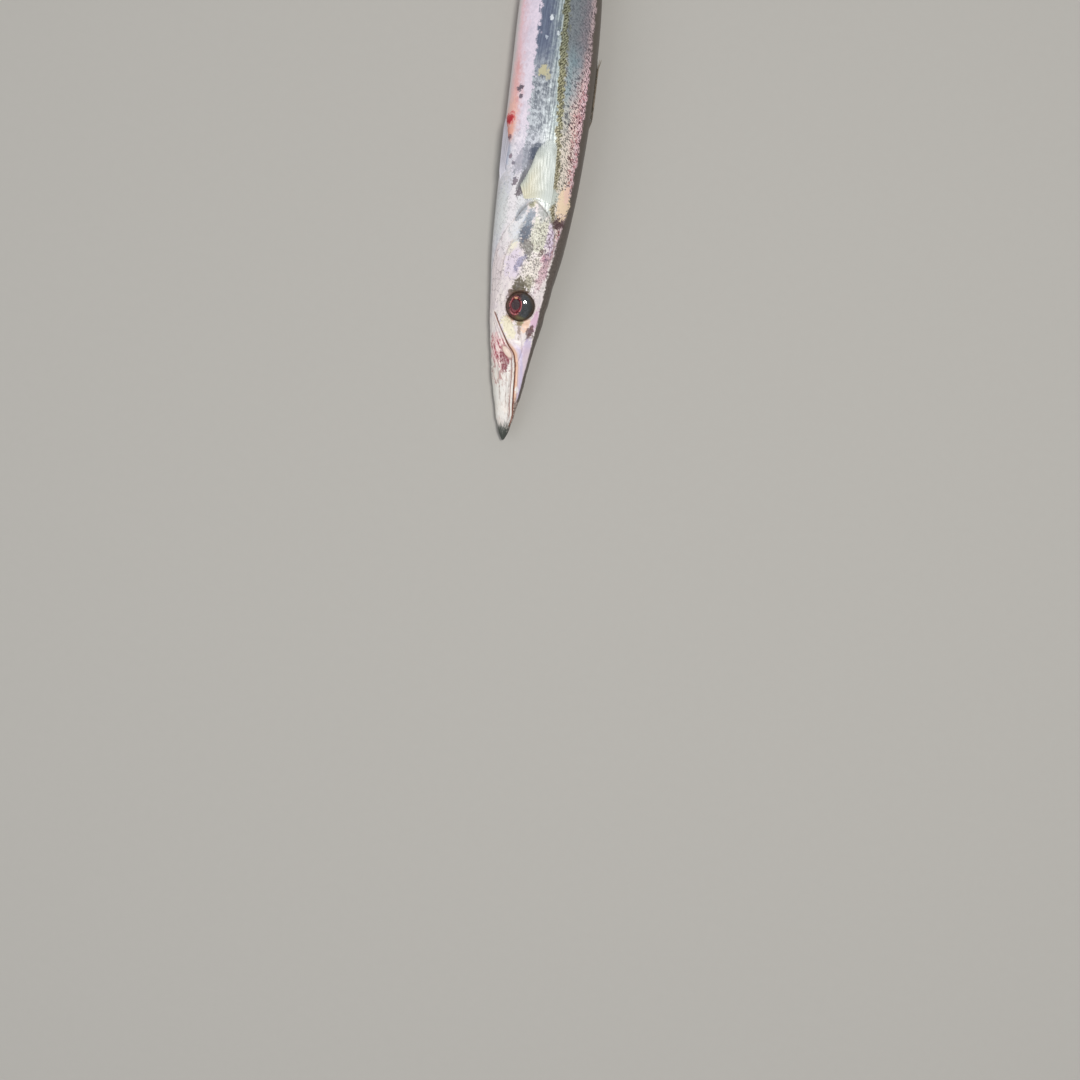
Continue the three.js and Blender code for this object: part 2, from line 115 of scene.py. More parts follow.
MOUTH = ((5.2, 1.5), (9.5, 2.0), (16.8, 1.5), (23, 1.2), (27.5, 0.6), (30.3, -0.3), (33, -2.6),
         (36.2, -4.5), (39.4, -6.4), (43.5, -8.6))
MAXILLA = ((27.5, 1.6), (33, 2.4), (40, -0.6), (44.2, -7.6), (39.4, -6.2), (36, -4.3),
           (33.4, -2.3), (31, 0.2))
GILL_EDGE = ((61, 7.6), (66, 8.7), (70.5, 8.6), (74, 7.9), (78.5, 5.1), (81.9, 1.2), (81.4, -1.2),
             (79, -3.4), (76, -5.4), (73, -7.8), (66.5, -10.8), (59, -11.5), (50, -10.9))
PREOPERCLE = ((63.5, 6.6), (66.4, 4.2), (68.0, 0.6), (69.0, -3.2), (67.4, -5.9), (62, -7.9), (54, -8.4))
CHEEK_EDGE = ((55.5, 1.5), (57.5, -2.4), (55.6, -6.2), (50, -8.0), (44.5, -8.4))
LACRIMAL = ((33.5, 3.0), (38.4, -0.2), (41.6, -3.6), (45.2, -6.3), (50, -6.7), (54.2, -4.4))
SNOUT_RIDGE = ((17, 3.1), (26, 4.3), (34, 5.5), (41, 6.6), (50, 7.6), (58, 8.7), (63, 9.6))
JAW_FOLDS = (
    ((10, -0.5), (17, -1.2), (24, -2.1), (28.5, -3.6), (33, -6.6)),
    ((13, -2.8), (21, -4.2), (28, -6.0), (35, -8.0)),
    ((22.5, -2.6), (26, -4.2), (31.5, -5.4)),
    ((25, -4.8), (29, -6.1), (34, -7.5)),
    ((6.5, 0.7), (11, 0.5), (16.4, -0.2), (22, -0.4), (26.4, -0.5), (28.6, -1.2)),
    ((31.0, -4.2), (35.5, -6.6), (41, -8.9)),
)
NOSTRILS = ((37.2, 4.5, 0.42), (39.6, 5.0, 0.6))  # the third number is the radius

EYE_RADIUS = 5.0
ORBIT_RADIUS = 5.2
EYE_REACH = 7.55  # from the body's long axis to the front of the eye
EYE_DOME = 1.3  # how far the clear dome stands up from the eye's edge
EYE_FRONT = 0.62  # how far the iris stands up from the eye's edge
PUPIL = (-1.65, 0.15, 1.7, 2.55)  # its middle upwards and along, and its reach in both
PUPIL_SUNK = 0.3
PUPIL_RIM = 0.1
IRIS_FOLDS = 36
IRIS_FOLD_DEPTH = 0.03
IRIS_GLINT = (-1.8, 2.75)  # the middle of a painted warm glint by the pupil, upwards and along
EYEBALL_BACK = 2.6  # how deep the eyeball reaches behind its edge
DOME_BACK = 0.15
DOME_OVERLAP = 0.12  # how far the dome reaches past the eyeball's edge
EYEBALL_MESH, DOME_MESH = (64, 72), (40, 64)  # rings and sides

OVAL = (30.3, -2.5, 2.7, 1.05, -42)  # a swelling by the mouth: its middle, its reach and its lean
FIN_PLANE = 0.75  # from the skin to the middle of a fin folded on the flank
FLAT_FIN = 0.35  # how far under that plane the render's thinner fins lie
SCALE_DEPTH = 0.08  # from the plain body down to the skin under the scales
SCALE_SCATTER = 0.9  # how far a scale's own markings may be moved up or down the flank
SCALES_PARTED = 128  # the station at which the scales of a flank are parted into two pieces
SCALE_CORNERS = 12
SCALE_BEVEL = 0.72  # the upper face of a scale, as a share of its lower one
SCALE_DRAWN_UP = 0.35
SCALE_NARROWED = 0.22  # how much narrower a scale is at its root
SCALE_TURN = 3  # degrees, the unevenness of its direction
SCALE_GROWTH = 0.045  # the unevenness of its size
SCALE_RAISED = 0.006  # the unevenness of its height
SCALE_ROWS = 48  # rows tried on each side of the lateral line, more than the deepest body takes
PLACE_SCATTER = (0.05, 0.04)  # the unevenness of a scale's place, along its row and across it
PAST_RIDGE = 1.5  # degrees that a flank's scales reach past the back's ridge and the keel
BAKE_PATCH = 0.0014  # half a scale's patch on the unrolled skin
BAKE_FROM, BAKE_LENGTH = 40, 210  # the stations that the unrolled skin gives to the scales
ROUND_ANGLES = (-70.0, 251.0)  # degrees round the body in which rows are laid
ARC_REACH, ARC_STEP = 60, 0.25  # distances round the body from the lateral line
FIN_FOOT = SimpleNamespace(start=84, end=87, up=0.7, reach=3.4)  # a pectoral fin's, without scales
GILL_NEAR = 96  # stations up to which the distance from the gill cover's edge is measured
FAR_FROM_GILLS = 20.0
FAR_FROM_MOUTH = 9.0
HEAD_FORMS_END = 92  # the last station with forms of the head and the shoulder
RIM_ANGLE = math.radians(50)  # edges of a scale that turn further than this are kept sharp

BAND_STATIONS = (12, 40, 61, 73, 92, 104, 120, 132, 155, 175, 200, 233)
BAND_EDGES = {
    "belly": (-4.2, -9.8, -12.0, -12.6, -13.0, -13.1, -13.1, -13.0, -12.9, -11.4, -8.4, -7.6),
    "pink": (-3.6, -8.8, -10.2, -10.4, -9.6, -9.2, -9.9, -10.9, -11.8, -10.4, -7.6, -6.8),
    "lavender": (-2.6, -6.0, -6.4, -6.0, -5.8, -6.0, -6.1, -6.1, -5.7, -5.0, -3.6, -3.4),
    "slate": (-1.6, -3.4, -2.4, -1.6, 0.6, 1.8, 2.4, 0.9, -0.9, -1.2, -1.4, -1.4),
    "mint": (0.0, 1.6, 4.6, 6.6, 5.6, 4.6, 3.2, 2.3, 1.5, 1.0, 0.2, 0.0),
    "stripe": (0.6, 2.6, 5.6, 7.8, 7.4, 6.4, 5.3, 4.8, 3.4, 2.6, 1.6, 1.5),
    "blue": (1.6, 3.8, 6.6, 8.8, 9.8, 9.2, 7.9, 8.9, 9.2, 7.8, 5.4, 4.6),
    "glitter": (2.3, 5.3, 7.6, 9.7, 11.2, 11.4, 11.4, 11.6, 11.5, 9.7, 6.8, 5.8),
    "rose": (2.9, 6.3, 8.5, 10.6, 12.6, 13.1, 13.4, 13.1, 12.9, 10.9, 7.6, 6.6),
}


def srgb(red, green, blue):
    """A colour as seen on screen, 0 to 255, as the linear one that a material takes."""
    shares = np.array((red, green, blue)) / 255
    linear = np.where(shares <= 0.04045, shares / 12.92, ((shares + 0.055) / 1.055) ** 2.4)
    return tuple(float(part) for part in linear)


def smooth(low, high, value):
    """0 up to low, 1 from high on, and an even S in between."""
    t = np.clip((value - low) / (high - low), 0, 1)
    return t * t * (3 - 2 * t)


def size(at, column):
    """One of the body's sizes, on a smooth curve through the stations."""
    x = STATIONS[:, AT]
    y = STATIONS[:, column]
    last = len(x) - 1
    steps = np.arange(len(x))
    before = np.maximum(steps - 1, 0)
    after = np.minimum(steps + 1, last)
    slope = (y[after] - y[before]) / (x[after] - x[before])
    i = np.clip(np.searchsorted(x, at, side="right") - 1, 0, last - 1)
    step = x[i + 1] - x[i]
    t = np.clip((at - x[i]) / step, 0, 1)
    rise = slope[i] * (t**3 - 2 * t**2 + t) + slope[i + 1] * (t**3 - t**2)
    return y[i] * (2 * t**3 - 3 * t**2 + 1) + y[i + 1] * (3 * t**2 - 2 * t**3) + step * rise


def sway(at):
    """The sideways curve of the tail, towards the belly, straight on past its root."""
    along = np.maximum(0, (at - SWAY_FROM) / (TAIL_ROOT - SWAY_FROM))
    past = np.maximum(0, along - 1)
    return TAIL_SWAY * (np.minimum(along, 1) ** 2 + 2 * past)


def section(at):
    """The body's section at some stations, with the wedge of flesh over the tail fin's root."""
    back = size(at, BACK)
    belly = size(at, BELLY)
    past = np.maximum(0, at - TAIL_ROOT)
    round_off = np.clip((at - ROUNDED_FROM) / (FLESH_END - ROUNDED_FROM), 0, 1)
    nose = np.clip(1 - at / NOSE_ROUNDED, 0, 1)
    close = np.sqrt(1 - round_off**2 * ENDS_CLOSED) * np.sqrt(1 - nose**2 * ENDS_CLOSED)
    thin = smooth(WEDGE_FROM, WEDGE_THIN_FROM, at)
    half = size(at, HALF) * (1 - thin) + WEDGE_HALF * thin
    return SimpleNamespace(
        reach=((back + belly) / 2 + WEDGE_SPREAD * past) * close,
        middle=(back - belly) / 2,
        half=half * np.where(at > ROUNDED_FROM, 0.4 + 0.6 * close, close),
        level=size(at, LEVEL) - WEDGE_SINKS * past,
        crown=size(at, CROWN),
        keel=size(at, KEEL),
    )


def skin(at, degrees, grow=0.0):
    """Points on the body's surface, grown outwards."""
    at, degrees = np.broadcast_arrays(np.asarray(at, float), np.asarray(degrees, float))
    angle = np.radians(degrees)
    up, out = np.cos(angle), np.sin(angle)
    part = section(at)
    power = 2 / np.where(up > 0, part.crown, part.keel)
    across = part.middle + np.sign(up) * np.abs(up) ** power * (part.reach + grow) + sway(at)
    height = part.level + np.sign(out) * np.abs(out) ** power * (part.half + grow)
    return np.stack([across, at, height], -1)


def up_of(at, degrees):
    """The height on the flank of a point given by its angle."""
    part = section(at)
    up = np.cos(np.radians(degrees))
    power = 2 / np.where(up > 0, part.crown, part.keel)
    return part.middle + np.sign(up) * np.abs(up) ** power * part.reach


def angle_of(at, up):
    """The angle, on the right side, of a point given by its height on the flank."""
    at, up = np.broadcast_arrays(np.asarray(at, float), np.asarray(up, float))
    part = section(at)
    share = np.clip((up - part.middle) / part.reach, -1, 1)
    power = np.where(share > 0, part.crown, part.keel) / 2
    return np.degrees(np.arccos(np.sign(share) * np.abs(share) ** power))


def spline(points, share):
    """A smooth curve through points, at shares of its length from 0 to 1."""
    points = np.asarray(points, float)
    last = len(points) - 1
    place = np.clip(share, 0, 1) * last
    i = np.minimum(place.astype(int), last - 1)
    t = (place - i)[..., None]
    before = points[np.maximum(i - 1, 0)]
    here = points[i]
    there = points[i + 1]
    beyond = points[np.minimum(i + 2, last)]
    leave = (there - before) / 2
    arrive = (beyond - here) / 2
    return (
        (2 * here - 2 * there + leave + arrive) * t**3
        + (3 * there - 3 * here - 2 * leave - arrive) * t**2
        + leave * t
        + here
    )


def in_frame(points):
    """Millimetres along the fish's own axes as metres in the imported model's frame."""
    return points * MM + ORIGIN


def waves(points, length, seed):
    """Smooth unevenness from -1 to 1, about one wave in each length."""
    draw = np.random.default_rng(seed)
    total = np.zeros(len(points))
    for _ in range(9):
        direction = draw.normal(size=3)
        direction *= draw.uniform(0.6, 1.5) / np.linalg.norm(direction)
        total += np.sin(points @ direction * (2 * math.pi / length) + draw.uniform(0, 2 * math.pi))
    return total / 4


class Trace:
    """A line drawn on the right flank, and how far points of the skin are from it."""

    def __init__(self, corners, steps=6):
        count = (len(corners) - 1) * steps
        self.line = spline(corners, np.linspace(0, 1, count + 1))
        self.space = skin(self.line[:, 0], angle_of(self.line[:, 0], self.line[:, 1]))

    def measure(self, points, at, up):
        """Signed distance, more than 0 to the left going along the line, and the share along it."""
        best = np.full(len(points), 1e6)
        sign = np.ones(len(points))
        share = np.zeros(len(points))
        for i in range(len(self.space) - 1):
            start = self.space[i]
            step = self.space[i + 1] - start
            t = np.clip((points - start) @ step / (step @ step), 0, 1)
            apart = np.linalg.norm(points - start - t[:, None] * step, axis=1)
            nearer = apart < best
            flat = self.line[i + 1] - self.line[i]
            turn = flat[0] * (up - self.line[i, 1]) - flat[1] * (at - self.line[i, 0])
            best = np.where(nearer, apart, best)
            sign = np.where(nearer, np.where(turn >= 0, 1.0, -1.0), sign)
            share = np.where(nearer, (i + t) / (len(self.space) - 1), share)
        return best * sign, share


def hump(distance, width):
    """A rounded ridge along a line: 1 on it, falling away within about one width."""
    return np.exp(-((distance / width) ** 2))


def closest_to_ends(share, fade):
    """1 along a line, fading to 0 at both of its ends."""
    return smooth(0, fade, share) * smooth(0, fade, 1 - share)


def band_of(at, up):
    """Which band of the markings a point is in: 0 at the belly's keel and 9 at the back's ridge."""
    part = section(at)
    edges = [part.middle - part.reach]
    edges += [np.interp(at, BAND_STATIONS, heights) for heights in BAND_EDGES.values()]
    edges.append(part.middle + part.reach)
    band = np.zeros(len(at))
    for low, high in zip(edges, edges[1:]):
        band += np.clip((up - low) / np.maximum(high - low, 0.05), 0, 1)
    return band


def stripe_up(at):
    """The middle of the olive stripe, along which the lateral line runs."""
    low = np.interp(at, BAND_STATIONS, BAND_EDGES["mint"])
    high = np.interp(at, BAND_STATIONS, BAND_EDGES["stripe"])
    return (low + high) / 2


def deselect_all():
    """Nothing selected, so that an operator acts on the next piece alone."""
    bpy.ops.object.select_all(action="DESELECT")


def select_only(*pieces):
    """Selects some pieces and makes the first of them the active one."""
    deselect_all()
    for piece in pieces:
        piece.select_set(True)
    bpy.context.view_layer.objects.active = pieces[0]


def corners_of(piece):
    """A piece's vertices as an array."""
    places = np.zeros(len(piece.data.vertices) * 3)
    piece.data.vertices.foreach_get("co", places)
    return places.reshape(-1, 3)


def lay(piece, points):
    """Lays a piece's vertices at places along the fish's own axes."""
    piece.data.vertices.foreach_set("co", in_frame(points).ravel())
    piece.data.update()


def note(piece, name, values):
    """Keeps a number for each vertex, for the materials to read."""
    attribute = piece.data.attributes.new(name, "FLOAT", "POINT")
    attribute.data.foreach_set("value", np.asarray(values, np.float32))


def corner_vertices(mesh):
    """The vertex at each corner of a mesh's faces, face by face."""
    vertices = np.zeros(len(mesh.loops), np.int32)
    mesh.loops.foreach_get("vertex_index", vertices)
    return vertices


def add_bake_map(mesh, places):
    """Adds the UV map that a bake of the materials uses, with a place for each corner of the faces."""
    mesh.uv_layers.new(name="OFBake").data.foreach_set("uv", places.astype(np.float32).ravel())


def face_outwards(piece):
    """Turns every face of a closed piece outwards."""
    select_only(piece)
    bpy.ops.object.mode_set(mode="EDIT")
    bpy.ops.mesh.select_all(action="SELECT")
    bpy.ops.mesh.normals_make_consistent(inside=False)
    bpy.ops.object.mode_set(mode="OBJECT")


def finish_piece(piece, material, slot, *nodes, sharp_rims=False):
    """Gives a piece its finish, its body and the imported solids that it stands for."""
    select_only(piece)
    if sharp_rims:
        bpy.ops.object.shade_smooth_by_angle(angle=RIM_ANGLE)
    else:
        bpy.ops.object.shade_smooth()
    piece.data.materials.clear()
    piece.data.materials.append(material)
    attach(piece, "root")
    if nodes:
        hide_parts(*nodes)


def ball(name, rings, sides):
    """A ball to be laid out anew, with the ring and the side that each vertex belongs to."""
    deselect_all()
    bpy.ops.mesh.primitive_uv_sphere_add(segments=sides, ring_count=rings, radius=1)
    piece = bpy.context.object
    piece.name = piece.data.name = name
    places = corners_of(piece)
    ring = np.rint(np.arccos(np.clip(places[:, 2], -1, 1)) * rings / math.pi).astype(int)
    side = np.rint(np.arctan2(places[:, 1], places[:, 0]) * sides / (2 * math.pi)).astype(int)
    return piece, ring, side % sides


def grid(name, columns, rows):
    """A flat sheet to be laid out anew, with each vertex's share across it and out along it."""
    deselect_all()
    bpy.ops.mesh.primitive_grid_add(x_subdivisions=columns, y_subdivisions=rows, size=2)
    piece = bpy.context.object
    piece.name = piece.data.name = name
    places = corners_of(piece)
    return piece, (places[:, 0] + 1) / 2, (places[:, 1] + 1) / 2


class Ink:
    """A value or colour in a material's nodes, on which sums can be written."""

    def __init__(self, nodes, socket):
        self.nodes = nodes
        self.socket = socket

    def sum(self, operation, first, second):
        """A Math node on two values."""
        return self.nodes.add("ShaderNodeMath", {"operation": operation}, [first, second])

    def __add__(self, other):
        return self.sum("ADD", self, other)

    def __radd__(self, other):
        return self.sum("ADD", other, self)

    def __sub__(self, other):
        return self.sum("SUBTRACT", self, other)

    def __rsub__(self, other):
        return self.sum("SUBTRACT", other, self)

    def __mul__(self, other):
        return self.sum("MULTIPLY", self, other)

    def __rmul__(self, other):
        return self.sum("MULTIPLY", other, self)

    def __truediv__(self, other):
        return self.sum("DIVIDE", self, other)

    def __rtruediv__(self, other):
        return self.sum("DIVIDE", other, self)


class Finish:
    """A material and the nodes that make it."""

    def __init__(self, name):
        self.material = bpy.data.materials.new(name)
        self.material.use_nodes = True
        self.tree = self.material.node_tree
        self.tree.nodes.clear()
        self.place = self.add("ShaderNodeTexCoord", output="Object")

    def add(self, kind, settings=None, values=(), output=0):
        """Adds a node: its settings first, then the values or links of its sockets."""
        node = self.tree.nodes.new(kind)
        for name, setting in (settings or {}).items():
            if name == "stops":
                self.set_stops(node, setting)
            else:
                setattr(node, name, setting)
        pairs = values.items() if isinstance(values, dict) else enumerate(values)
        for name, value in pairs:
            if isinstance(value, Ink):
                self.tree.links.new(value.socket, node.inputs[name])
            elif value is not None:
                node.inputs[name].default_value = value
        return Ink(self, node.outputs[output])

    def set_stops(self, node, stops):
        """Gives a ramp its stops, each a position and a colour."""
        elements = node.color_ramp.elements
        while len(elements) > 1:
            elements.remove(elements[-1])
        elements[0].position, elements[0].color = stops[0][0], (*stops[0][1], 1)
        for position, colour in stops[1:]:
            elements.new(position).color = (*colour, 1)

    def read(self, name):
        """A number kept for each vertex of the piece."""
        return self.add("ShaderNodeAttribute", {"attribute_name": name}, output="Fac")

    def step(self, low, high, value):
        """0 on one side of a range and 1 on the other, with an even S in between."""
        settings = {"interpolation_type": "SMOOTHSTEP", "clamp": True}
        return self.add("ShaderNodeMapRange", settings, [value, low, high, 0.0, 1.0])

    def mix(self, share, first, second):
        """One colour turned into another by a share."""
        first = first if isinstance(first, Ink) else (*first, 1)
        second = second if isinstance(second, Ink) else (*second, 1)
        values = {0: share, 6: first, 7: second}
        return self.add("ShaderNodeMix", {"data_type": "RGBA"}, values, output=2)

    def blend(self, share, first, second):
        """One value turned into another by a share."""
        return self.add("ShaderNodeMix", {"data_type": "FLOAT"}, {0: share, 2: first, 3: second})

    def larger(self, first, second):
        """The larger one of two values."""
        return self.add("ShaderNodeMath", {"operation": "MAXIMUM"}, [first, second])

    def away(self, value):
        """How far a value is from 0."""
        return self.add("ShaderNodeMath", {"operation": "ABSOLUTE"}, [value])

    def root(self, value):
        """A value's square root."""
        return self.add("ShaderNodeMath", {"operation": "SQRT"}, [value])

    def ripple(self, value, length):
        """A wave from 0 to 1 and back along a value, once in each length."""
        turns = value * (2 * math.pi / length)
        return self.add("ShaderNodeMath", {"operation": "SINE"}, [turns]) * 0.5 + 0.5

    def ramp(self, value, colours):
        """The colour of band 0, 1, 2 and so on, each even in its middle and run into the next."""
        stops = []
        last = len(colours) - 1
        for band, colour in enumerate(colours):
            for border, way in ((band - 1, 1), (band, -1)):
                if 0 <= border < last:
                    place = border + 1 + way * BORDER_SOFTNESS[border]
                    stops.append((place / len(colours), srgb(*colour)))
        return self.add("ShaderNodeValToRGB", {"stops": stops}, [value / len(colours)])

    def stretched(self, wave, lean=0.0):
        """Places measured in waves of a length, in millimetres, along each axis of the leaning fish."""
        values = {
            "Vector": self.place,
            "Rotation": (0.0, 0.0, math.radians(lean)),
            "Scale": tuple(MM * length for length in wave),
        }
        return self.add("ShaderNodeMapping", {"vector_type": "TEXTURE"}, values)

    def noise(self, wave, detail=2.0, roughness=0.55, twist=0.0, lean=0.0):
        """Uneven values round a half, about one wave in each of the lengths, in millimetres."""
        values = {
            "Vector": self.stretched(wave, lean),
            "Scale": 1.0,
            "Detail": detail,
            "Roughness": roughness,
            "Distortion": twist,
        }
        return self.add("ShaderNodeTexNoise", {}, values)

    def mark(self, at, up, fleck, centre, reach, lean=0.0, ragged=1.2):
        """1 inside an oval mark of the flank, which leans towards the back, and 0 outside its edge."""
        along, across = at - centre[0], up - centre[1]
        if lean:
            c, s = math.cos(math.radians(lean)), math.sin(math.radians(lean))
            along, across = along * c + across * s, across * c - along * s
        along, across = along / reach[0], across / reach[1]
        inside = 1 - along * along - across * across
        return self.step(-0.15, 0.5, inside + (fleck - 0.5) * ragged)

    def bump(self, height, depth, strength=1.0, under=None):
        """A normal that follows a height of so many millimetres."""
        values = {"Strength": strength, "Distance": depth * MM, "Height": height, "Normal": under}
        return self.add("ShaderNodeBump", {}, values)

    def principled(self, values):
        """The surface's own shader."""
        return self.add("ShaderNodeBsdfPrincipled", {}, values)

    def close(self, surface):
        """Ends the material with its surface."""
        node = self.tree.nodes.new("ShaderNodeOutputMaterial")
        self.tree.links.new(surface.socket, node.inputs["Surface"])
        return self.material


# The markings of the skin: each band has a tone in shade and a tone where it shines, by the gills, in
# the middle of the body and towards the tail.
BAND_TONES = (
    # belly
    ((206, 206, 212), (238, 236, 238), (214, 208, 210), (238, 232, 232), (212, 206, 206), (236, 228, 228)),
    # pink
    ((196, 198, 206), (242, 238, 244), (222, 150, 150), (255, 210, 208), (228, 182, 190), (255, 220, 228)),
    # lavender
    ((212, 208, 220), (252, 244, 252), (208, 202, 216), (250, 236, 248), (200, 194, 210), (249, 232, 246)),
    # slate
    ((112, 116, 128), (222, 224, 232), (104, 110, 122), (214, 220, 226), (86, 94, 118), (128, 138, 158)),
    # mint
    ((160, 170, 170), (226, 230, 224), (128, 140, 142), (226, 238, 236), (100, 112, 122), (196, 208, 210)),
    # olive stripe
    ((88, 80, 56), (200, 192, 164), (66, 64, 40), (186, 182, 146), (62, 62, 42), (162, 164, 138)),
    # blue
    ((112, 108, 98), (238, 226, 212), (96, 98, 102), (196, 196, 190), (84, 90, 98), (140, 146, 150)),
    # glitter
    ((104, 74, 72), (255, 236, 226), (88, 52, 58), (255, 228, 220), (80, 78, 86), (162, 154, 160)),
    # upper glitter
    ((84, 50, 58), (255, 222, 226), (86, 48, 58), (255, 220, 226), (84, 70, 74), (206, 184, 186)),
    # back
    ((80, 72, 66), (114, 102, 96), (80, 72, 64), (114, 102, 94), (80, 72, 64), (112, 102, 94)),
)

# How far each band runs into the next, as a share of half its width.
BORDER_SOFTNESS = (0.45, 0.4, 0.06, 0.45, 0.12, 0.12, 0.4, 0.4, 0.14)

MIDDLE_FROM, MIDDLE_TO = (98, 112), (122, 138)
CREAM = srgb(246, 236, 230)
PINKISH_WHITE = srgb(240, 228, 228)
# the brown of the upper jaw's tip, deepened with painted shade
SNOUT_BROWN_AND_SHADE = srgb(104, 88, 80)
JAW_TIP = srgb(70, 74, 68)
# the reddish brown of the painted shade in the head's grooves
GROOVE_SHADE_BROWN = srgb(134, 98, 90)
MOUTH_DARK = srgb(150, 86, 58)
# the painted shade in the slit between the jaws
SLIT_SHADE = srgb(52, 26, 22)
RUDDY = srgb(172, 76, 88)
TEAL = srgb(124, 158, 172)
# the dark and the lighter olive of the painted shadow behind the eye
SHADOW_OLIVE_DARK, SHADOW_OLIVE = srgb(54, 46, 34), srgb(100, 90, 64)
LIP_ORANGE = srgb(244, 200, 166)
LAVENDER = srgb(208, 198, 226)
DUSK_DARK, DUSK = srgb(80, 72, 66), srgb(116, 104, 98)
WELT_RED, WELT_DARK = srgb(186, 84, 100), srgb(140, 44, 62)

# Places of single marks: their middle as (station, up), how far they reach, and their lean.
CHEEK_GRIT = ((64, 4.0), (16, 5.0), 12)
GILL_SCRIBBLE = ((64, -3), (24, 11))
# a painted shadow behind the eye, on the rim of its socket
EYE_SHADOW_WEDGE = ((51.0, -1.0), (5.4, 2.9), -4)
CROWN_WAVES = ((69, 8.2), (10, 2.3), 8)
SNOUT_SPOT = ((17.8, 2.4), (1.3, 0.7))
SHOULDER_PEPPER = ((82, -8.5), (12, 5.0), 4)
BRUISE = ((30.4, -5.3), (6.6, 3.5), -24, 0.9)
BRUISE_TRAIL = ((23.6, -4.6), (5.4, 2.6), -16, 1.2)
SORE = ((27.0, -3.0), (3.8, 1.5), -24, 1.4)

# Coloured marks: their middle as (station, up), how far they reach, their lean, the colour and how
# strongly it lies. Most grow in the species' skin and some are painted shade; both flanks have them all.
HEAD_MARKS = (
    ((60, -10.2), (17, 2.4), 0, (222, 208, 210), 0.5),  # the pinkish throat
    ((70, -7.2), (8, 2.2), 14, (236, 230, 238), 0.5),
    ((71.5, 3.4), (8.5, 3.8), 8, (212, 212, 190), 0.85),  # the greenish cream of the scaly gill cover
    ((58.5, 2.9), (6.4, 3.4), 18, (232, 222, 210), 0.8),  # the scaly cheek
    ((61.0, 6.6), (9.5, 1.7), 12, (214, 172, 184), 0.8),  # the pink and lavender under the crown
    ((72, 7.8), (8.5, 2.2), 4, (228, 210, 232), 0.85),
    ((63.3, 5.4), (1.9, 0.8), 15, (232, 168, 188), 0.6),
    ((65.3, 4.9), (1.8, 1.0), 40, (116, 92, 88), 0.8),
    ((67.2, -0.6), (4.4, 2.3), -24, (124, 122, 116), 0.85),  # a shadowed hollow before the gill cover
    ((67.4, -4.7), (4.6, 1.3), 22, (246, 240, 216), 0.8),  # the preopercle's cream ridge
    ((60.4, -4.2), (5.4, 3.2), 8, (230, 216, 236), 0.7),
    ((61.2, -2.0), (3.4, 1.3), 32, (146, 144, 176), 0.8),
    ((73.0, -3.0), (6.0, 3.6), 18, (206, 216, 230), 0.75),
    ((72.2, -1.5), (4.8, 2.2), 10, (92, 102, 118), 0.95),  # the slate shadow of the gill cover
    ((76.8, -0.6), (3.8, 1.6), 20, (138, 150, 164), 0.85),
    ((78.6, 3.6), (3.6, 2.2), -30, (168, 172, 172), 0.75),
    ((54.6, 1.4), (3.0, 1.8), 20, (142, 136, 104), 0.75),
    ((50.6, -3.6), (2.4, 1.6), 40, (96, 68, 54), 0.85),
    ((41.2, 0.9), (2.1, 2.2), 0, (146, 140, 88), 0.9),  # the orbit's olive and orange front
    ((41.7, -3.1), (1.7, 2.0), -20, (222, 170, 128), 0.75),
    ((38.6, -3.1), (4.8, 1.9), -26, (245, 236, 206), 0.9),  # the lacrimal plate
    ((38.6, 0.5), (3.2, 0.7), -8, (150, 122, 104), 0.7),
    ((40.2, 2.7), (2.8, 1.5), 8, (246, 208, 184), 0.95),
    ((41.8, 5.5), (5.0, 1.3), 10, (230, 190, 214), 0.9),
    ((37.7, 4.4), (2.8, 1.3), 12, (108, 82, 84), 0.9),  # round the nostrils
    ((32.6, 3.9), (3.8, 1.3), 14, (210, 196, 226), 0.85),
    ((82.2, -0.2), (2.6, 2.0), 0, (206, 202, 164), 0.75),  # the gill cover's yellowish hind point
    ((81.0, -0.6), (1.2, 1.1), 0, (112, 108, 66), 0.8),
)

# Marks that lie over both the head and the shoulder behind it.
SHOULDER_MARKS = (
    ((80, -6.8), (14, 5.2), 4, (252, 248, 244), 0.5),
    ((86.5, -9.4), (6.5, 1.3), 12, (212, 214, 224), 0.5),
    ((78.0, -3.9), (3.8, 1.4), 28, (150, 158, 168), 0.75),
    # painted shadow under the pectoral fin's lower edge
    ((88.4, -5.4), (5.2, 1.0), 14, (116, 114, 118), 0.85),
    ((84.5, 5.6), (2.6, 3.0), 0, (206, 214, 208), 0.8),
    ((78, -11.2), (10, 2.6), 0, (226, 230, 228), 0.65),  # the pale mint of the throat's end
    ((91.5, -3.7), (8.4, 1.5), 14, (112, 112, 118), 0.8),  # painted shadow of the pectoral fin, slate along its lower edge
    # the painted shadow by the pectoral fin's tip, at its darkest
    ((99.0, -1.9), (3.6, 1.7), 24, (72, 82, 100), 0.9),
    ((76.3, 9.4), (2.6, 2.0), 20, (84, 58, 62), 0.95),  # maroon and peach behind the head
    ((83.2, 10.2), (6.2, 2.1), 3, (255, 228, 196), 0.95),
    ((86.0, 10.8), (3.4, 1.1), 3, (255, 214, 202), 0.7),
)

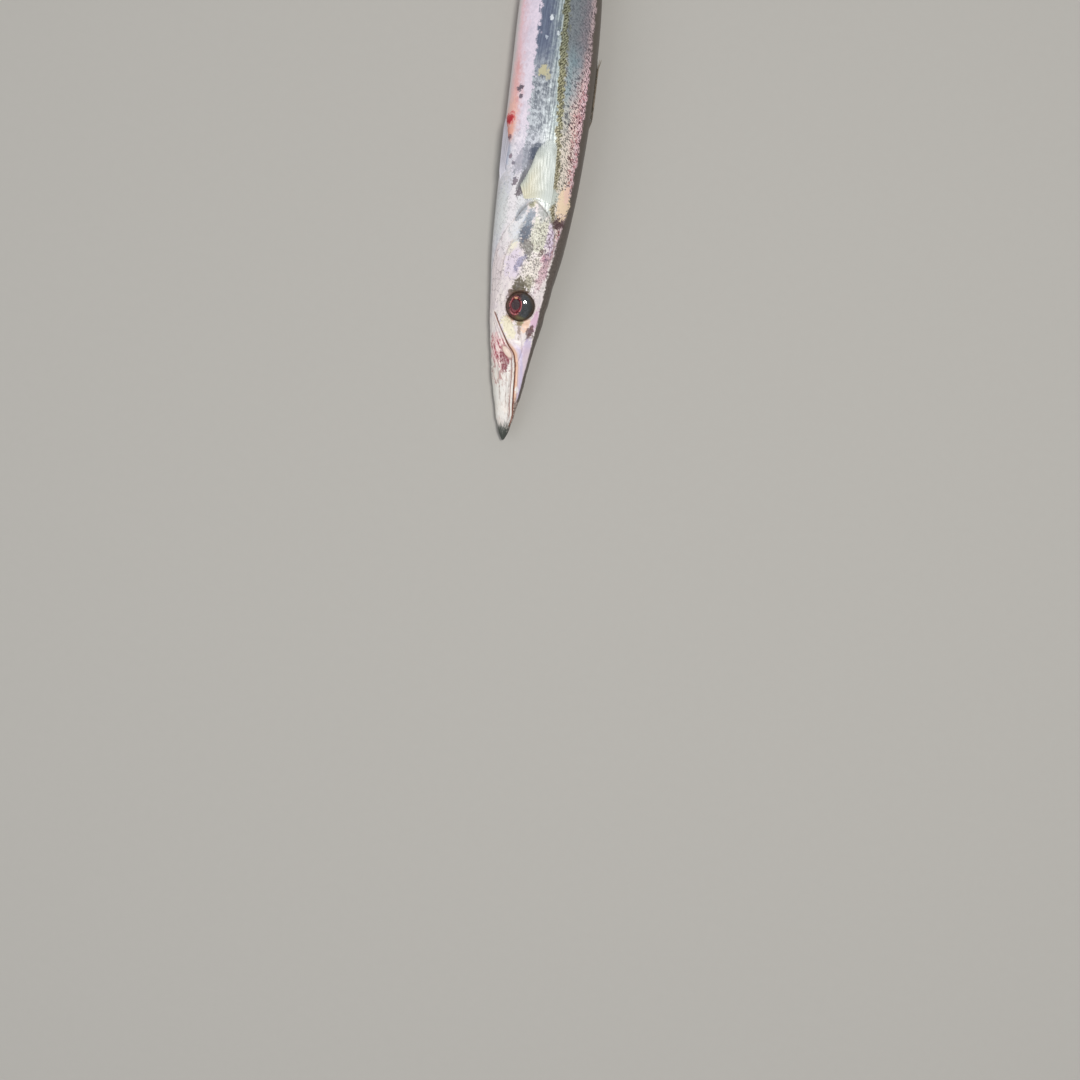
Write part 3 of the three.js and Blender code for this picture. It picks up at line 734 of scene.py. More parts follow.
# Marks of the right flank alone: bruises and scuffs of a caught fish.
RIGHT_MARKS = (
    ((109, -12.0), (10, 2.2), 2, (255, 200, 178), 0.5),
    ((110.2, -12.2), (2.3, 1.8), 10, (228, 92, 98), 0.8),
    ((110.2, -12.3), (1.6, 1.2), 10, (196, 30, 48), 0.95),
    ((105.6, -11.6), (2.8, 1.0), 12, (250, 176, 150), 0.6),
    ((98.2, -12.2), (5.0, 1.8), 0, (196, 210, 228), 0.6),
    ((126.8, -2.6), (2.3, 1.8), 30, (204, 196, 158), 0.9),
    ((125.0, -0.9), (1.6, 1.1), -10, (196, 190, 158), 0.75),
    ((145.5, -1.8), (1.1, 0.8), 0, (232, 238, 244), 0.9),
    ((140.2, 0.9), (0.9, 0.7), 0, (224, 232, 238), 0.8),
    ((138.5, -3.0), (0.8, 0.6), 0, (206, 216, 228), 0.7),
    ((120.6, -9.9), (1.5, 1.1), 40, (84, 76, 90), 0.9),
    ((117.6, -9.3), (1.0, 0.7), 0, (88, 80, 94), 0.85),
    ((103.6, -11.4), (1.0, 0.7), 0, (120, 92, 106), 0.8),
    ((97.0, -10.2), (0.9, 0.7), 0, (120, 92, 110), 0.75),
    ((94.6, -8.9), (0.8, 0.6), 0, (104, 88, 104), 0.75),
    ((88.4, -7.4), (1.5, 1.2), 30, (116, 102, 114), 0.85),
    ((84.6, -5.6), (1.8, 1.3), 20, (112, 102, 108), 0.85),
    ((95.4, -6.0), (5.6, 2.8), 14, (140, 142, 156), 0.6),
)


def body_markings(ink, at, band, grain, noises):
    """The bands of the flank, with the dashes, lines and ropes that each is drawn in."""
    speck, dash, streak, cloud, mottle, _ = noises
    # Where the bands lie, with ragged borders, and which kind of drawing each has.
    hem = band + (dash - 0.5) * 0.35 * ink.step(6.2, 6.8, band)
    hem = hem + (mottle - 0.5) * 0.5 * ink.step(5.0, 3.4, band) + (grain - 0.5) * 0.12
    waxy = ink.step(3.05, 2.85, hem)
    rope = ink.step(4.95, 5.1, hem) * ink.step(6.05, 5.9, hem)
    linen = ink.step(2.9, 3.2, hem) * (1 - rope) * ink.step(5.4, 5.0, hem)
    hind = ink.step(*MIDDLE_TO, at)
    back_here = 1 - ink.step(100, 122, at)
    # Short bright dashes over the back, painted glints, dimmer towards the tail.
    spark = ink.step(0.43, 0.52, dash * 0.7 + speck * 0.3)
    dim = 0.5 + (spark - 0.5) * 0.35 + (speck - 0.5) * 1.4
    spark = ink.blend(hind * ink.step(8.3, 7.7, hem), spark, dim)
    # The waxy belly and pink band, clouded up to the shoulder.
    calm = 0.6 + (cloud - 0.5) * 0.5 + (speck - 0.5) * 0.9 + (grain - 0.5) * 0.25
    calm = calm + ((mottle - 0.5) * 3.0 + (dash - 0.5) * 1.4) * back_here
    # Fine lines along the flank, worn away in places.
    lines = ink.step(0.4, 0.62, streak * 0.75 + speck * 0.25)
    worn = ink.step(0.42, 0.6, mottle * 0.5 + dash * 0.3 + grain * 0.2)
    worn = ink.blend(hind, worn, 0.4 + (mottle - 0.5) * 0.8 + (streak - 0.5) * 1.2)
    drawn = ink.blend(ink.step(3.3, 4.4, hem), worn * 0.7 + lines * 0.3, lines * 0.85 + worn * 0.15)
    drawn = drawn + back_here * 0.15
    # The olive stripe, drawn like twine.
    strand = at - ink.read("height") * 1.1 + (mottle - 0.5) * 2.4
    twine = ink.ripple(strand, 1.15) * 0.6 + (speck - 0.5) * 3.2 + 0.12
    shine = ink.blend(waxy, spark, calm)
    shine = ink.blend(linen, shine, drawn)
    shine = ink.blend(rope, shine, twine)
    crown = ink.step(8.95, 9.1, hem)
    shine = ink.blend(crown, shine, 0.35 + (speck - 0.5) * 1.1)
    tones = [ink.ramp(hem, [row[i] for row in BAND_TONES]) for i in range(6)]
    near = ink.mix(shine, tones[0], tones[1])
    middle = ink.mix(shine, tones[2], tones[3])
    far = ink.mix(shine, tones[4], tones[5])
    drift = at + (cloud - 0.5) * 14
    colour = ink.mix(ink.step(*MIDDLE_FROM, drift), near, middle)
    colour = ink.mix(ink.step(*MIDDLE_TO, drift), colour, far)
    # Ruddy flecks among the dashes, and a teal sheen in the middle of the back's blue.
    ruddy = ink.step(0.52, 0.58, speck * 0.5 + mottle * 0.5) * ink.step(7.0, 7.6, hem)
    ruddy = ruddy * ink.step(9.0, 8.85, hem) * ink.step(134, 118, drift)
    colour = ink.mix(ruddy * 0.7, colour, RUDDY)
    teal = ink.step(6.0, 6.3, band) * ink.step(8.2, 7.2, band)
    teal = teal * ink.step(113, 121, at) * ink.step(140, 130, at)
    return ink.mix(teal * (0.2 + spark * 0.35), colour, TEAL), shine


def head_ground(ink, at, up, ragged_at, ragged_up, noises):
    """The head's pale ground, with its marks, grit, scribbles and waves, painted highlights and glints, and
    the painted shadow behind the eye.
    """
    speck, dash, _, cloud, mottle, fleck = noises
    ground = ink.mix(ink.step(0.35, 0.7, cloud), PINKISH_WHITE, CREAM)
    soft = ink.step(0.5, 0.68, mottle * 0.5 + speck * 0.5)
    head = ink.mix(soft * 0.4, ground, srgb(212, 204, 206))
    # Painted highlights: bright white flecks over the head.
    head = ink.mix(ink.step(0.62, 0.78, fleck) * 0.4, head, srgb(255, 250, 240))
    veined = ink.step(0.46, 0.6, ink.noise((1.0, 3.6, 1.0), 4, 0.65, twist=0.5, lean=-14))
    head = ink.mix(veined * 0.35, head, srgb(204, 194, 202))
    for centre, reach, lean, colour, share in HEAD_MARKS:
        laid = ink.mark(ragged_at, ragged_up, fleck, centre, reach, lean)
        head = ink.mix(laid * share, head, srgb(*colour))
    # Dark grit and painted glints on the scaly cheek.
    cheek = ink.mark(ragged_at, ragged_up, fleck, *CHEEK_GRIT)
    grit = ink.step(0.5, 0.57, speck * 0.6 + dash * 0.4)
    head = ink.mix(cheek * grit * 0.7, head, srgb(92, 84, 76))
    glint = ink.step(0.45, 0.38, speck * 0.6 + dash * 0.4)
    head = ink.mix(cheek * glint * 0.7, head, srgb(250, 246, 228))
    # Fine broken lines over the gill cover, the painted shadow behind the eye as an olive wedge, and waves on
    # the nape.
    ravel = ink.noise((2.2, 3.2, 2.2), 4, 0.6, twist=0.6)
    scribble = ink.step(0.035, 0.012, ink.away(ravel - 0.5)) * ink.step(0.42, 0.54, speck)
    gills = ink.mark(ragged_at, ragged_up, fleck, *GILL_SCRIBBLE)
    head = ink.mix(gills * scribble * 0.6, head, srgb(116, 104, 108))
    wedge = ink.mark(ragged_at, ragged_up, fleck, *EYE_SHADOW_WEDGE)
    head = ink.mix(wedge * 0.92, head, ink.mix(fleck, SHADOW_OLIVE_DARK, SHADOW_OLIVE))
    waved = ink.ripple(up + (mottle - 0.5) * 2.2 + (cloud - 0.5) * 2.0 - at * 0.1, 1.25)
    wavy = ink.mark(ragged_at, ragged_up, fleck, *CROWN_WAVES) * ink.step(0.66, 0.9, waved)
    return ink.mix(wavy * (0.35 + fleck * 0.5), head, srgb(116, 84, 108))


def snout_markings(ink, head, at, up, ragged_at, band, mouth, noises):
    """The snout over the mouth: its orange lip, lavender strip, dusky crown and brown tip, which is deepened
    with painted shade.
    """
    speck, _, streak, _, mottle, fleck = noises
    snout = ink.step(35, 31, ragged_at)
    above = ink.step(0.0, 0.2, mouth)
    head = ink.mix(snout * above * 0.8, head, srgb(222, 200, 214))
    lip = ink.step(1.25, 0.7, mouth + (speck - 0.5) * 0.5) * above * ink.step(11, 15, at)
    head = ink.mix(snout * lip * 0.85, head, LIP_ORANGE)
    strip = ink.step(1.5, 1.9, mouth) * ink.step(3.0, 2.4, mouth + (streak - 0.5))
    head = ink.mix(snout * strip * 0.8, head, LAVENDER)
    crown = ink.step(8.75, 9.1, band + (speck - 0.5) * 0.8 + (mottle - 0.5) * 0.5)
    dusk = ink.mix(ink.step(0.3, 0.75, speck), DUSK_DARK, DUSK)
    head = ink.mix(crown * ink.step(8, 14, at), head, dusk)
    # The upper jaw's tip: dark brown, deepened with painted shade, with pale specks.
    tip = ink.step(15.5, 12.5, ragged_at + (speck - 0.5) * 3) * above
    head = ink.mix(tip, head, ink.mix(ink.step(0.42, 0.6, speck), SNOUT_BROWN_AND_SHADE, srgb(204, 184, 174)))
    return ink.mix(ink.mark(ragged_at, up, fleck, *SNOUT_SPOT) * 0.9, head, srgb(250, 244, 240))


def jaw_markings(ink, head, at, mouth, noises):
    """The lower jaw: pale bone with fine grooves, a brown line under the lip and a dark tip."""
    *_, cloud, mottle, _ = noises
    below = ink.step(0.0, -0.25, mouth) * ink.step(38, 33, at)
    head = ink.mix(below * 0.85, head, srgb(243, 239, 233))
    grain = ink.noise((0.34, 5.5, 0.5), 3, lean=17)
    scored = ink.step(0.56, 0.68, grain) * below * ink.step(4, 9, at)
    head = ink.mix(scored * 0.7, head, srgb(136, 118, 106))
    keel = below * ink.step(-3.6, -5.2, mouth + (grain - 0.5) * 4)
    head = ink.mix(keel * 0.25, head, srgb(196, 200, 188))
    head = ink.mix(below * ink.step(0.5, 0.62, grain * 0.5 + cloud * 0.5) * 0.5, head, srgb(240, 220, 206))
    line = ink.step(0.3, 0.06, ink.away(mouth + 1.2 + (mottle - 0.5) * 0.5)) * below * ink.step(6, 10, at)
    head = ink.mix(line * 0.75, head, srgb(150, 96, 88))
    black = ink.step(8.5, 3.0, at + (grain - 0.5) * 13)
    return ink.mix(black, head, JAW_TIP)


def head_markings(ink, at, up, band, mouth, noises):
    """The head's markings, with the places of its marks made a little ragged."""
    *_, cloud, mottle, _ = noises
    ragged_at = at + (mottle - 0.5) * 1.6
    ragged_up = up + (cloud - 0.5) * 1.0
    head = head_ground(ink, at, up, ragged_at, ragged_up, noises)
    head = snout_markings(ink, head, at, up, ragged_at, band, mouth, noises)
    return jaw_markings(ink, head, at, mouth, noises)


def right_markings(ink, colour, at, up, flank, noises):
    """What the right flank alone has: the bruised jaw, a graze at the belly, scuffs and flecks."""
    *_, mottle, fleck = noises
    right = ink.step(0.1, 0.3, flank)
    weals = ink.noise((0.5, 3.4, 0.5), 3, twist=0.4, lean=24)
    bruise = ink.mark(at, up, fleck, *BRUISE) * right
    colour = ink.mix(bruise * 0.5, colour, srgb(246, 196, 198))
    welt = weals * 0.7 + mottle * 0.3
    colour = ink.mix(bruise * ink.step(0.5, 0.57, welt) * 0.85, colour, WELT_RED)
    colour = ink.mix(bruise * ink.step(0.56, 0.62, welt) * 0.9, colour, WELT_DARK)
    colour = ink.mix(bruise * ink.step(0.45, 0.38, welt) * 0.6, colour, srgb(250, 238, 226))
    trail = ink.mark(at, up, fleck, *BRUISE_TRAIL) * right
    colour = ink.mix(trail * ink.step(0.5, 0.56, weals) * 0.65, colour, srgb(164, 96, 98))
    sore = ink.mark(at, up, fleck, *SORE) * right
    colour = ink.mix(sore * (0.6 + fleck * 0.4), colour, srgb(134, 56, 70))
    at_oval, up_oval, reach, narrow, lean = OVAL
    rim = ink.mark(at, up, fleck, (at_oval, up_oval), (reach + 0.7, narrow + 0.6), lean, 0.3) * right
    colour = ink.mix(rim * 0.7, colour, srgb(150, 82, 84))
    oval = ink.mark(at, up, fleck, (at_oval, up_oval), (reach, narrow), lean, 0.25) * right
    colour = ink.mix(oval * 0.9, colour, srgb(244, 222, 206))
    for centre, reach, lean, tone, share in RIGHT_MARKS:
        laid = ink.mark(at, up, fleck, centre, reach, lean, 1.5) * right
        colour = ink.mix(laid * share, colour, srgb(*tone))
    return colour


def flesh_finish():
    """The skin's markings: bands along the body, marks on the head, and glitter between them, with painted
    shade in the grooves, along the gill cover and in the mouth's slit.
    """
    ink = Finish("barracuda_skin")
    at, up, flank = ink.read("station"), ink.read("height"), ink.read("flank")
    band, grain, crease = ink.read("band"), ink.read("grain"), ink.read("crease")
    mouth, gill = ink.read("mouth"), ink.read("gill")
    noises = (
        ink.noise((0.6, 0.7, 0.6), 3, 0.65),
        ink.noise((0.4, 1.2, 0.55), 2, 0.6, twist=0.4, lean=44),
        ink.noise((0.5, 11, 0.6), 3, 0.6),
        ink.noise((3.8, 5.5, 3.8), 3),
        ink.noise((1.3, 1.7, 1.3), 3, 0.6),
    )
    speck, dash, _, cloud, mottle = noises
    fleck = ink.step(0.34, 0.66, speck * 0.55 + mottle * 0.45)
    noises += (fleck,)
    body, shine = body_markings(ink, at, band, grain, noises)
    head = head_markings(ink, at, up, band, mouth, noises)

    hind = ink.step(-0.8, 0.8, gill + (fleck - 0.5) * 1.2) * ink.step(8.8, 8.2, band + (dash - 0.5))
    nape = ink.step(62, 82, at + (cloud - 0.5) * 14) * ink.step(7.6, 8.2, band + (dash - 0.5))
    scaled = ink.larger(hind, nape)
    colour = ink.mix(scaled, head, body)
    for centre, reach, lean, tone, share in SHOULDER_MARKS:
        colour = ink.mix(ink.mark(at, up, fleck, centre, reach, lean) * share, colour, srgb(*tone))
    pepper = ink.mark(at, up, fleck, *SHOULDER_PEPPER)
    pepper = pepper * ink.step(0.5, 0.58, speck * 0.5 + mottle * 0.5)
    colour = ink.mix(pepper * 0.4, colour, srgb(158, 156, 160))
    # Painted shade along the gill cover's edge, where it steps down to the body.
    rim = ink.step(0.5, 0.1, ink.away(gill - 0.15)) * ink.step(66, 72, at) * ink.step(0.3, 0.6, mottle + 0.1)
    rim = rim * ink.step(-7, -4, up)
    colour = ink.mix(rim * 0.4, colour, srgb(112, 104, 100))
    # Painted shade in the head's grooves, slits and nostrils and round the eye, in a reddish brown.
    colour = ink.mix(crease * (0.25 + fleck * 0.6), colour, GROOVE_SHADE_BROWN)
    colour = right_markings(ink, colour, at, up, flank, noises)
    line = ink.step(0.42, 0.12, ink.away(mouth))
    colour = ink.mix(line * 0.85, colour, MOUTH_DARK)
    # Painted shade in the slit between the jaws.
    colour = ink.mix(ink.step(0.15, 0.05, ink.away(mouth)) * 0.8, colour, SLIT_SHADE)

    silver = ink.step(2.8, 3.2, band) * ink.step(9.1, 8.8, band) * scaled
    rough = 0.42 - silver * 0.08 + (speck - 0.5) * 0.3
    fine = ink.bump(speck * 0.5 + dash * 0.3 + mottle * 0.4, 0.1, 0.8)
    surface = ink.principled({
        "Base Color": colour,
        "Metallic": silver * shine * 0.15,
        "Roughness": rough,
        "Coat Weight": 0.22,
        "Coat Roughness": 0.24,
        "Coat IOR": 1.38,
        "IOR": 1.4,
        "Normal": fine,
    })
    return ink.close(surface)


def eye_finish(colours):
    """The eye under its clear dome: a dark red pupil, a broken pink ring and a slate iris, with painted shade
    on its silver upper half and at its edge, and a painted glint.
    """
    ink = Finish("eye_iris")
    x, y = ink.read("eye_up"), ink.read("eye_along")
    away = ink.root(x * x + y * y)
    side, ahead = (x - PUPIL[0]) / PUPIL[2], (y - PUPIL[1]) / PUPIL[3]
    cloud = ink.noise((1.6, 1.6, 1.6), 3)
    speck = ink.noise((0.5, 0.5, 0.5), 3)
    pupil = ink.root(side * side + ahead * ahead) + (cloud - 0.5) * 0.12
    fold = (cloud - 0.5) * 1.4
    # The iris's upper half: its silver in painted shade, as slate, darkest by the upper rim of the socket.
    slate = ink.mix(ink.step(0.35, 0.65, speck), srgb(46, 50, 54), srgb(76, 80, 84))
    slate = ink.mix(ink.step(2.0, 4.2, x + fold), slate, srgb(34, 32, 28))
    brown = ink.mix(ink.step(0.4, 0.62, cloud * 0.6 + speck * 0.4), srgb(54, 28, 28), srgb(124, 74, 66))
    colour = ink.mix(ink.step(-0.9, 0.7, x + fold), brown, slate)
    olive = ink.step(-2.6, -4.2, y + x * 0.35 + fold) * ink.step(-2.0, 0.0, x)
    colour = ink.mix(olive * 0.8, colour, srgb(120, 116, 74))
    gap = ink.step(0.36, 0.5, speck * 0.5 + cloud * 0.5 + (x - PUPIL[0]) * 0.03 - y * 0.02)
    ring = ink.step(1.36, 1.24, pupil) * ink.step(1.02, 1.12, pupil) * gap
    colour = ink.mix(ring * ink.step(0.4, 0.56, speck) * 0.9, colour, srgb(214, 122, 128))
    colour = ink.mix(ink.step(1.1, 1.0, pupil), colour, srgb(118, 26, 42))
    colour = ink.mix(ink.step(1.0, 0.8, pupil + ink.step(0.4, -2.2, y) * 0.35), colour, tuple(colours.pupil))
    # A painted glint by the pupil, warm orange-white.
    glint_side, glint_ahead = x - IRIS_GLINT[0], y - IRIS_GLINT[1]
    glint_away = ink.root(glint_side * glint_side + glint_ahead * glint_ahead * 3)
    colour = ink.mix(ink.step(0.8, 0.4, glint_away), colour, srgb(244, 190, 150))
    # Painted shade round the eye's edge, under the rim of its socket.
    colour = ink.mix(ink.step(3.8, 4.8, away + fold) * 0.8, colour, srgb(76, 62, 48))
    surface = ink.principled({
        "Base Color": colour,
        "Roughness": 0.36 + ink.step(1.0, 1.2, pupil) * 0.18,
        "Specular IOR Level": 0.25,
        "Normal": ink.bump(speck, 0.08, 0.5),
    })
    return ink.close(surface)


def clear_finish():
    """The clear wet dome over the eye: see-through, with a gloss that grows towards its edge."""
    ink = Finish("eye_dome")
    fresnel = ink.add("ShaderNodeFresnel", {}, {"IOR": 1.26})
    clear = ink.add("ShaderNodeBsdfTransparent", {}, {"Color": (0.96, 0.95, 0.95, 1)})
    gloss = ink.add("ShaderNodeBsdfGlossy", {}, {"Color": (1, 1, 1, 1), "Roughness": 0.03})
    return ink.close(ink.add("ShaderNodeMixShader", {}, [fresnel, clear, gloss]))


def fin_finish(name, membrane, ray, edge, clearness, far_side, bold, faded):
    """A thin fin: firm rays in a membrane that lets some light through, and a tip that may fade."""
    ink = Finish(name)
    ridge, out, across = ink.read("ridge"), ink.read("out"), ink.read("across")
    cloud = ink.noise((2.4, 3.6, 2.4), 3)
    speck = ink.noise((0.4, 0.8, 0.4), 2)
    web = ink.mix(ink.step(0.2, 0.8, across + (cloud - 0.5) * 0.5), membrane, far_side)
    colour = ink.mix(ink.step(0.3, 0.7, cloud) * 0.3, web, edge)
    colour = ink.mix(ridge * bold, colour, ray)
    joints = ink.step(0.35, 0.65, ink.ripple(out, 0.037))
    colour = ink.mix(joints * ridge * ink.step(0.2, 0.4, out) * bold * 0.5, colour, edge)
    colour = ink.mix(ink.step(0.5, 1.0, out + (cloud - 0.5) * 0.2) * 0.6, colour, edge)
    colour = ink.mix(ink.step(0.6, 0.75, speck) * 0.2, colour, edge)
    thin = clearness * (1 - ridge) * ink.step(0.02, 0.3, out)
    gone = faded * ink.step(0.6, 1.0, out - across * 0.2 + (cloud - 0.5) * 0.5)
    surface = ink.principled({
        "Base Color": colour,
        "Roughness": 0.42 - ridge * 0.08,
        "Alpha": (1 - thin) * (1 - gone),
        "Coat Weight": 0.3,
        "Coat Roughness": 0.2,
        "Normal": ink.bump(speck + joints * ridge * 0.4, 0.05, 0.7),
    })
    return ink.close(surface)


def spine_finish():
    """The folded spines of the back: dusky horn with paler tips."""
    ink = Finish("back_spine")
    streak = ink.noise((0.3, 5, 0.3), 3)
    out = ink.read("out")
    colour = ink.mix(ink.step(0.35, 0.65, streak), srgb(74, 64, 52), srgb(126, 112, 94))
    colour = ink.mix(ink.step(0.7, 1.0, out) * 0.6, colour, srgb(170, 156, 134))
    surface = ink.principled({
        "Base Color": colour,
        "Roughness": 0.36 + streak * 0.1,
        "Coat Weight": 0.3,
        "Coat Roughness": 0.15,
        "Normal": ink.bump(streak, 0.05, 0.6),
    })
    return ink.close(surface)


def floor_finish(colours):
    """A plain pale studio floor with the faintest grain."""
    ink = Finish("studio_floor")
    grain = ink.noise((3, 3, 3), 3)
    pale = tuple(colours.floor)
    colour = ink.mix(grain, tuple(0.97 * part for part in pale), pale)
    return ink.close(ink.principled({"Base Color": colour, "Roughness": 0.75}))


class Rows:
    """Rows round the body at even distances from the lateral line, for laying scales in."""

    def __init__(self, start, end):
        self.start = start
        self.at = np.arange(start, end + 1.0)
        angles = np.arange(*ROUND_ANGLES)
        points = skin(self.at[:, None], angles[None, :])
        lengths = np.linalg.norm(np.diff(points, axis=1), axis=2)
        arcs = np.concatenate([np.zeros((len(self.at), 1)), np.cumsum(lengths, axis=1)], axis=1)
        line = angle_of(self.at, stripe_up(self.at))
        self.arcs = np.arange(-ARC_REACH, ARC_REACH, ARC_STEP)
        self.table = np.empty((len(self.at), len(self.arcs)))
        for i, arc in enumerate(arcs):
            self.table[i] = np.interp(self.arcs + np.interp(line[i], angles, arc), arc, angles)

    def angle(self, at, arc):
        """The angle of a point given by its distance round the body from the lateral line."""
        i = np.clip(at - self.start, 0, len(self.at) - 1.001)
        j = np.clip((arc - self.arcs[0]) / ARC_STEP, 0, len(self.arcs) - 1.001)
        low_i, low_j = i.astype(int), j.astype(int)
        part_i, part_j = i - low_i, j - low_j
        low = self.table[low_i, low_j] * (1 - part_j) + self.table[low_i, low_j + 1] * part_j
        high = self.table[low_i + 1, low_j] * (1 - part_j) + self.table[low_i + 1, low_j + 1] * part_j
        return low * (1 - part_i) + high * part_i


def scale_form():
    """One scale, 2 long and 2 wide: a thin round plate with a bevelled rim, drawn up in its middle."""
    deselect_all()
    bpy.ops.mesh.primitive_cone_add(
        vertices=SCALE_CORNERS, radius1=1, radius2=SCALE_BEVEL, depth=1, end_fill_type="NGON",
    )
    piece = bpy.context.object
    bpy.ops.object.mode_set(mode="EDIT")
    bpy.ops.mesh.select_all(action="DESELECT")
    bpy.ops.object.mode_set(mode="OBJECT")
    for face in piece.data.polygons:
        face.select = face.normal.z > 0.9
    bpy.ops.object.mode_set(mode="EDIT")
    bpy.ops.mesh.poke(offset=SCALE_DRAWN_UP)
    bpy.ops.object.mode_set(mode="OBJECT")
    return taken_apart(piece)


def bead_form():
    """A small closed bead, 2 long and 2 wide, for the tubes of the lateral line."""
    deselect_all()
    bpy.ops.mesh.primitive_uv_sphere_add(segments=8, ring_count=5, radius=1)
    return taken_apart(bpy.context.object)


def taken_apart(piece):
    """A piece's corners and faces, with the piece itself removed."""
    corners = corners_of(piece)
    faces = [list(face.vertices) for face in piece.data.polygons]
    bpy.data.objects.remove(piece)
    return corners, faces


def coat(name, form, rows, places, side, length, width, lift, tilt, thickness, seed):
    """Many small forms joined in one piece, each laid on the skin of one flank at its own place.

    A place is a station and a distance round the body from the lateral line.
    """
    corners, faces = form
    draw = np.random.default_rng(seed)
    count = len(places)
    grain = draw.random(count)
    turn = np.radians(draw.normal(0, SCALE_TURN, count))[:, None]
    grown = draw.normal(1, SCALE_GROWTH, count)[:, None]
    raised = draw.normal(0, SCALE_RAISED, count)[:, None]
    along = corners[None, :, 0] * length / 2 * grown
    narrow = 1 - SCALE_NARROWED * np.maximum(0, -corners[None, :, 0])
    across = corners[None, :, 1] * width / 2 * grown * narrow
    at = places[:, :1] + along * np.cos(turn) - across * np.sin(turn)
    arc = places[:, 1:] + across * np.cos(turn) + along * np.sin(turn)
    grow = lift + raised + tilt * along + (corners[None, :, 2] - 0.5) * thickness
    angle = rows.angle(at, arc)
    points = skin(at, side * angle, grow)
    kept = points[:, :, 2].min(axis=1) > FLOOR_CLEAR
    at, angle, points, grain = at[kept], angle[kept], points[kept], grain[kept]
    roots = places[kept]
    piece = joined(name, points, faces, side)
    note_markings(piece, at.ravel(), angle.ravel(), side, np.repeat(grain, len(corners)))
    root_angle = rows.angle(roots[:, 0], roots[:, 1])
    give_patches(piece.data, corners, roots[:, 0], root_angle, side)
    return piece


def joined(name, copies, faces, side):
    """One piece of many copies of a form, with the faces of the mirrored ones on the left turned round."""
    first = (np.arange(len(copies)) * copies.shape[1])[:, None]
    all_faces = []
    for face in faces:
        turned = face if side > 0 else face[::-1]
        all_faces += (first + np.array(turned)[None, :]).tolist()
    mesh = bpy.data.meshes.new(name)
    mesh.from_pydata(in_frame(copies.reshape(-1, 3)).tolist(), [], all_faces)
    mesh.update()
    piece = bpy.data.objects.new(name, mesh)
    bpy.context.scene.collection.objects.link(piece)
    return piece


def give_patches(mesh, corners, stations, degrees, side):
    """Gives each copy a small patch of the unrolled skin, at the place of its root."""
    round_share = np.where(side > 0, degrees, 360 - degrees) / 360
    root = np.stack([round_share, (stations - BAKE_FROM) / BAKE_LENGTH], -1)
    places = (root[:, None, :] + corners[None, :, :2] * BAKE_PATCH).reshape(-1, 2)
    add_bake_map(mesh, places[corner_vertices(mesh)])


def note_markings(piece, at, degrees, side, grain, mouth=FAR_FROM_MOUTH, gill=None, crease=0.0):
    """Keeps where on the fish each vertex is, for the markings, the unevenness of its scale and the painted
    shade of its grooves.
    """
    up = up_of(at, degrees)
    out = np.sin(np.radians(degrees))
    if gill is None:
        gill = gill_distance(at, degrees, up)
    values = {
        "station": at,
        "height": up,
        "flank": side * out,
        "band": band_of(at, up + (grain - 0.5) * SCALE_SCATTER * np.abs(out)),
        "grain": grain,
        "mouth": mouth,
        "gill": gill,
        "crease": crease,
    }
    for name, value in values.items():
        note(piece, name, np.broadcast_to(value, len(at)))


# Folds of the head along its lines: how far to one side of the line, how far they stand out and how
# wide they are. A height below 0 is a groove.
HEAD_FOLDS = (
    (MOUTH, ((0.0, -0.5, 0.15), (0.7, 0.26, 0.4), (-0.6, 0.22, 0.34), (-1.3, -0.14, 0.2))),
    (LACRIMAL, ((0.0, 0.16, 0.45), (-0.7, -0.08, 0.3))),
    (SNOUT_RIDGE, ((0.0, 0.18, 0.55), (1.1, -0.1, 0.4))),
    (CHEEK_EDGE, ((0.0, -0.07, 0.3), (0.7, 0.06, 0.5))),
    (PREOPERCLE, ((0.0, -0.14, 0.3), (-0.75, 0.14, 0.5))),
) + tuple((line, ((0.0, -0.17, 0.2), (0.45, 0.12, 0.3))) for line in JAW_FOLDS)
HEAD_WAVES = ((0.09, 7, 3), (0.05, 2.4, 4), (0.025, 1.1, 6))  # depth, length and seed
PLEAT_LENGTH = 1.5
SOCKET_DEPTH = 1.5
GILL_TRACE = Trace(GILL_EDGE)
MOUTH_TRACE = Trace(MOUTH)

# How the skin's mesh is dealt out: the rings of its rounded ends, the share of all rings that ends
# at the shoulder, the share of the sides on the right flank, which is the one that shows, and how
# much closer the sides lie along the mouth. The line of mesh along the mouth runs on behind it.
NOSE_RINGS, END_RINGS = 8, 14
HEAD_RINGS, SHOULDER = 0.725, 86
RIGHT_SIDES = 0.58
CLOSER_AT_MOUTH = 0.4
SEAM_STATIONS, SEAM_ANGLES = (52, 70, 95), (128, 105, 90)

SPINE_GROOVE = ((104, 116), (142, 137))  # where the groove of the folded spines starts and ends
VENT_AT = 165


def behind_gills(points, at, up):
    """How far behind the gill cover's edge a point is, below 0 on the head, and its share along."""
    gill, share = GILL_TRACE.measure(points, at, up)
    ahead = (at < 50) | ((at < 61) & (up > 0))
    return np.where(ahead, -np.abs(gill), gill), share


def gill_distance(at, degrees, up):
    """How far behind the gill cover's edge places of the body are, and simply far on its hind part."""
    gill = np.full(len(at), FAR_FROM_GILLS)
    near = at < GILL_NEAR
    gill[near] = behind_gills(skin(at[near], degrees[near]), at[near], up[near])[0]
    return gill


def on_nape(at, degrees):
    """1 where the scales of the body reach forward over the back of the head."""
    return smooth(62, 68, at - 0.12 * degrees) * smooth(46, 36, degrees)


